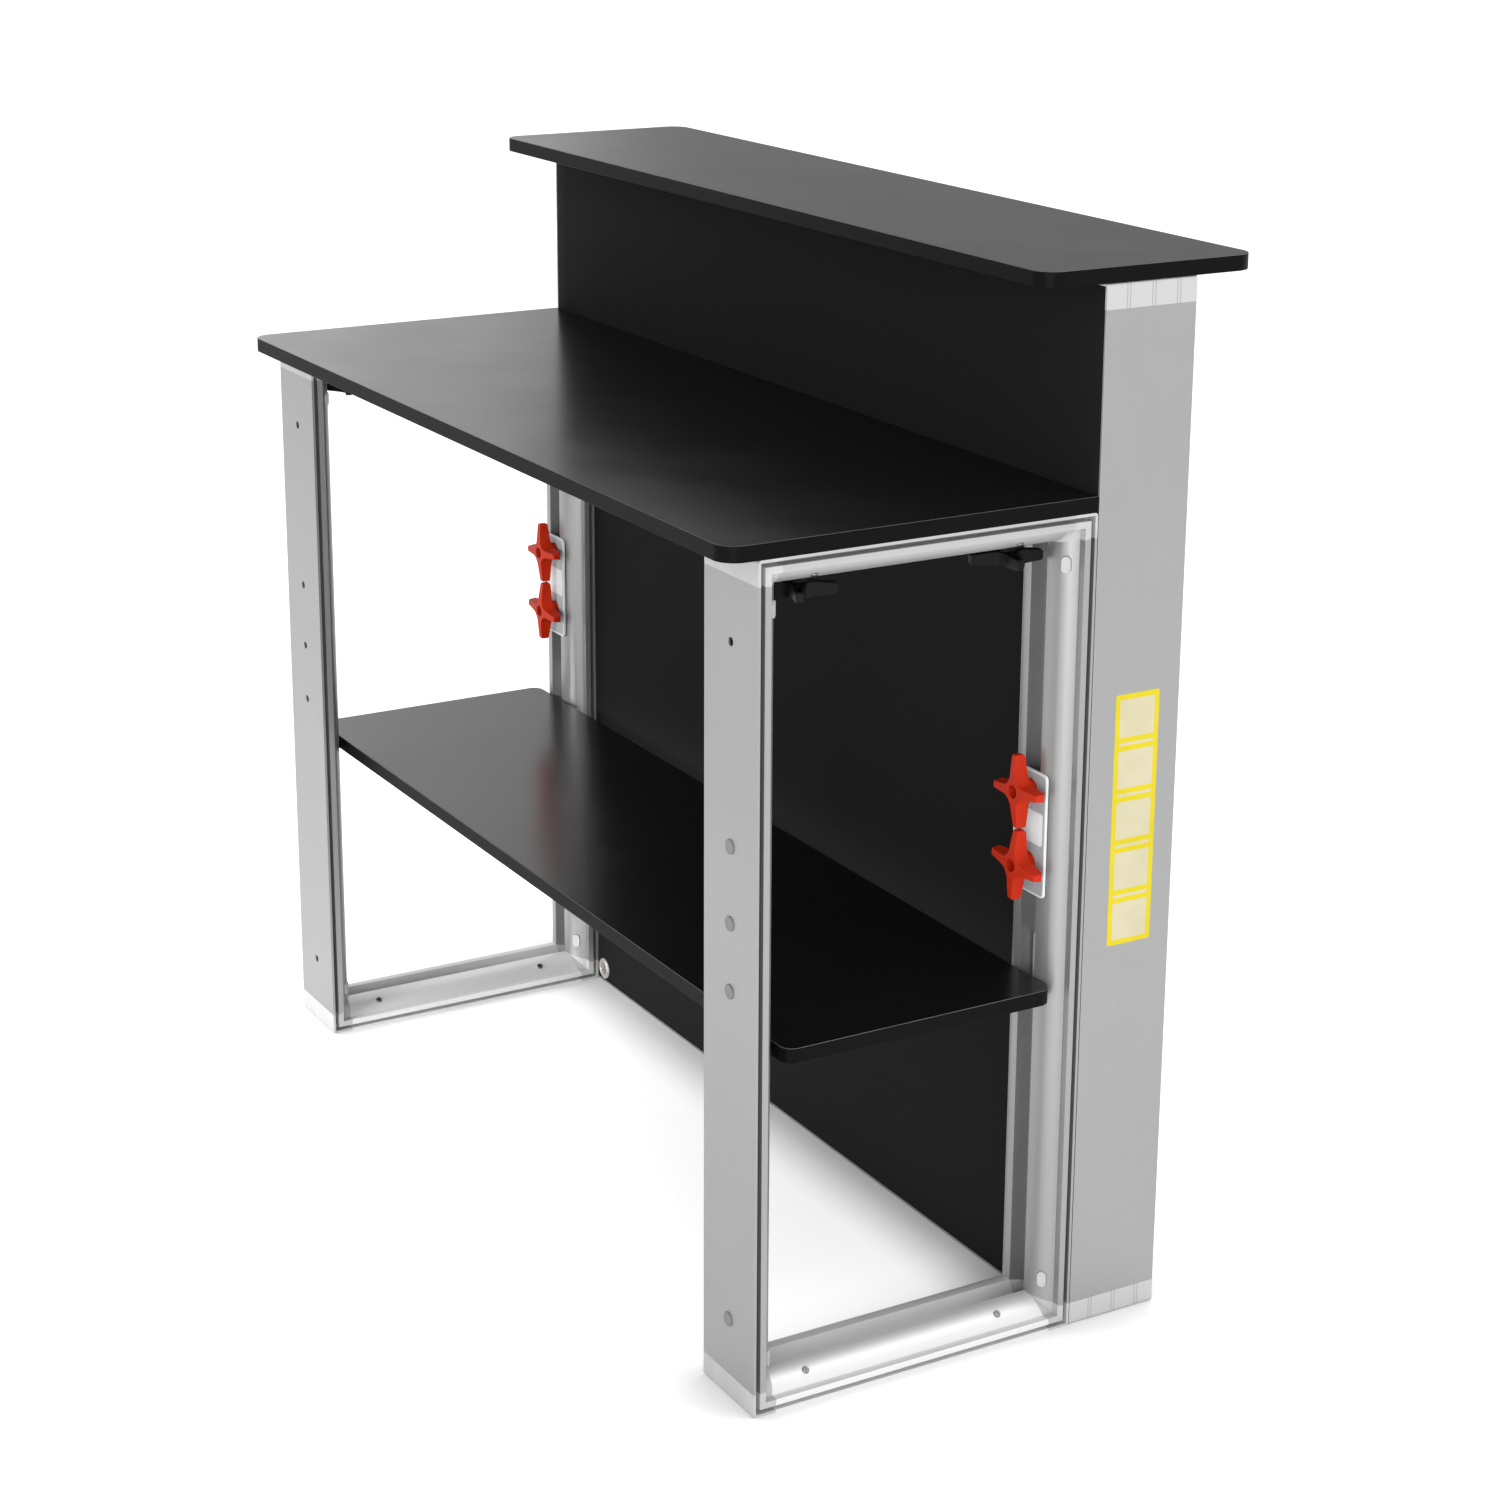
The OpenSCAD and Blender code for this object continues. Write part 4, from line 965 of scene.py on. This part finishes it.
lens = dress(round_block("lens", LENS_R, 0, LENS_T, 20), lens_glass)
bevelled(lens, above(LENS_T - 0.1 * MM), 3.6 * MM, 4)
done(lens)
bar = dress(block("bar", BAR_SIZE, (BAR_SIZE[0] / 2, 0, 0)), milled)
pick(bar, "FACE", lambda f: f.normal.x > SQUARE_ON)
bpy.ops.mesh.inset(thickness=2 * MM, depth=-1.2 * MM)
done(bar)
modified(bar, "BEVEL", width=0.4 * MM, segments=2, limit_method="ANGLE", angle_limit=ROUND_TO)
lens_places = [Matrix.Translation((LENS_FOOT, 0, (i - (LENS_COUNT - 1) / 2) * LENS_STEP))
    @ Matrix.Rotation(math.radians(90), 4, "Y") for i in range(LENS_COUNT)]
lamp = joined("lamp_bar", bar, repeated(lens, "lenses", lens_places))
bars = repeated(lamp, "lamp_bars_with_lenses", [
    Matrix.Translation((-LAMP_X, BOX_MIDDLE_Y, LAMP_Z)),
    Matrix.Translation((LAMP_X, BOX_MIDDLE_Y, LAMP_Z)) @ Matrix.Rotation(math.radians(180), 4, "Z")])
stands_for(bars, "lamp_bars")
print("Fitted two lamp bars with", LENS_COUNT, "lenses each")

# %% [markdown]
# The power supply is a painted metal case on the floor of the box, with rows of vents in its lid. The
# lid is divided into a grid, and each small cell is inset and pushed in by itself.

# %% Power supply
CASE_SIZE, CASE_X, CASE_Z = (180 * MM, 48 * MM, 32 * MM), 70 * MM, 47 * MM
LID_RIM, VENTED, LARGEST_CELL = 4 * MM, 78 * MM, 80 * MM * MM
supply = dress(block("power_supply_case", CASE_SIZE, (CASE_X, BOX_MIDDLE_Y, CASE_Z)), case_paint)
pick(supply, "FACE", lambda f: f.normal.z > SQUARE_ON)
bpy.ops.mesh.inset(thickness=LID_RIM, depth=0)
bpy.ops.mesh.subdivide(number_cuts=11)
pick(supply, "FACE", lambda f: f.normal.z > SQUARE_ON and f.calc_area() < LARGEST_CELL
    and abs(f.calc_center_median().x - CASE_X) < VENTED)
bpy.ops.mesh.inset(thickness=1.1 * MM, depth=-1.5 * MM, use_individual=True)
done(supply)
modified(supply, "BEVEL", width=0.8 * MM, segments=2, limit_method="ANGLE",
    angle_limit=math.radians(60))
stands_for(supply, "power_supply")
print("Fitted the power supply")

# %% [markdown]
# The counter stands on a plain white light table in a white surround. The table glows evenly, and
# where the feet touch it its glow is dimmed as a painted shadow: how much it is dimmed is reckoned from
# how much of the space within 90 mm is closed off. Black laminate shows mostly what it mirrors, so the
# surround has two soft zones past the far end: a dim one that keeps the near half of the worktop black,
# and a bright one that gives its far end the pale shine. Two soft boxes light the end and the metal,
# and a soft spot lifts the far side frame, which stands furthest from them.

# %% Light table
SHADOW_REACH, TABLE_GLOW, SHADOW_GLOW = 90 * MM, 0.64, 0.05
TABLE_CLOUDS = 1.5  # to the metre, as wide as the lamps below lie apart
nothing()
bpy.ops.mesh.primitive_plane_add(size=60, location=(0, 0, 0))
floor = named("floor")
# Opal acrylic over lamps: an even white that glows; near the feet its glow is dimmed into a soft, faint
# painted shadow.
acrylic, tree, shader, where = start("light_table_acrylic", "#d6d6d6", 0.8, Specular_IOR_Level=0.2,
    Emission_Strength=TABLE_GLOW, Emission_Color=(1, 1, 1, 1))
# Painted light: faint patches of the table's colour, as wide as the lamps below lie apart.
cloud = add(tree, "TexNoise", {"Scale": TABLE_CLOUDS}, {"Vector": where})
colour = add(tree, "Mix", between("#d5d5d5", "#d8d8d8"), {0: cloud})
# Painted shadow: the table's glow is dimmed where the space within the reach is closed off.
feet = add(tree, "AmbientOcclusion", {"samples": 6, "Distance": SHADOW_REACH})
glow = add(tree, "MapRange", {"From Min": 0.5, "To Min": SHADOW_GLOW, "To Max": TABLE_GLOW},
    {"Value": feet.outputs["AO"]})
wire(tree, shader, {"Base Color": colour, "Emission Strength": glow})
dress(floor, acrylic)
print("Laid the light table")

# %% Surround
# Each zone: its turn and rise, how far it reaches, and how bright it is against the surround.
ZONES = ((-46, 9, 18, 0.36), (-6, 12, 14, 1.6))
ZONE_BLUR = math.radians(3)
bpy.context.scene.view_settings.view_transform = "Standard"
world = bpy.data.worlds.new("white_surround")
world.use_nodes = True
sky = world.node_tree
toward = add(sky, "TexCoord").outputs["Generated"]
parts = []
for turn, rise, reach, bright in ZONES:
    turn, rise, reach = math.radians(turn), math.radians(rise), math.radians(reach)
    centre = (math.cos(turn) * math.cos(rise), math.sin(turn) * math.cos(rise), math.sin(rise))
    nearness = add(sky, "VectorMath", {"operation": "DOT_PRODUCT", 1: centre}, {0: toward})
    zone = add(sky, "MapRange", {"From Min": math.cos(reach + ZONE_BLUR), "From Max": math.cos(reach),
        "To Min": 1.0, "To Max": bright}, {"Value": nearness})
    parts.append(zone)
both = add(sky, "Math", {"operation": "MULTIPLY"}, {0: parts[0], 1: parts[1]})
# Seen directly, the surround is never darker than white, so the picture's ground stays clean.
seen = add(sky, "LightPath").outputs["Is Camera Ray"]
strength = add(sky, "Math", {"operation": "MAXIMUM"}, {0: seen, 1: both})
wire(sky, sky.nodes["Background"], {"Strength": strength})
sky.nodes["Background"].inputs["Color"].default_value = (1, 1, 1, 1)
bpy.context.scene.world = world
print("Made the surround with", len(parts), "zones")

# %% Lights
def lit(name, kind, place, target, power, **settings):
    """A light that points at a target."""
    light = placed(name, bpy.data.lights.new(name, kind))
    light.data.energy = power
    for key, value in settings.items():
        setattr(light.data, key, value)
    light.location = place
    light.rotation_euler = (Vector(target) - Vector(place)).to_track_quat("-Z", "Y").to_euler()


lit("key", "AREA", (-1.7, -1.6, 3.0), (-0.5, 0, 0.0), 20, size=1.6)
lit("fill", "AREA", (-3.2, 2.0, 0.9), (0.3, 0, 0.2), 45, size=1.6)
lit("far_end", "SPOT", (-0.2, 3.0, 1.2), (0.56, 0.18, 0.06), 450, shadow_soft_size=0.4,
    spot_size=math.radians(25), spot_blend=1.0)
print("Lit the studio with", len(bpy.data.lights), "lights")
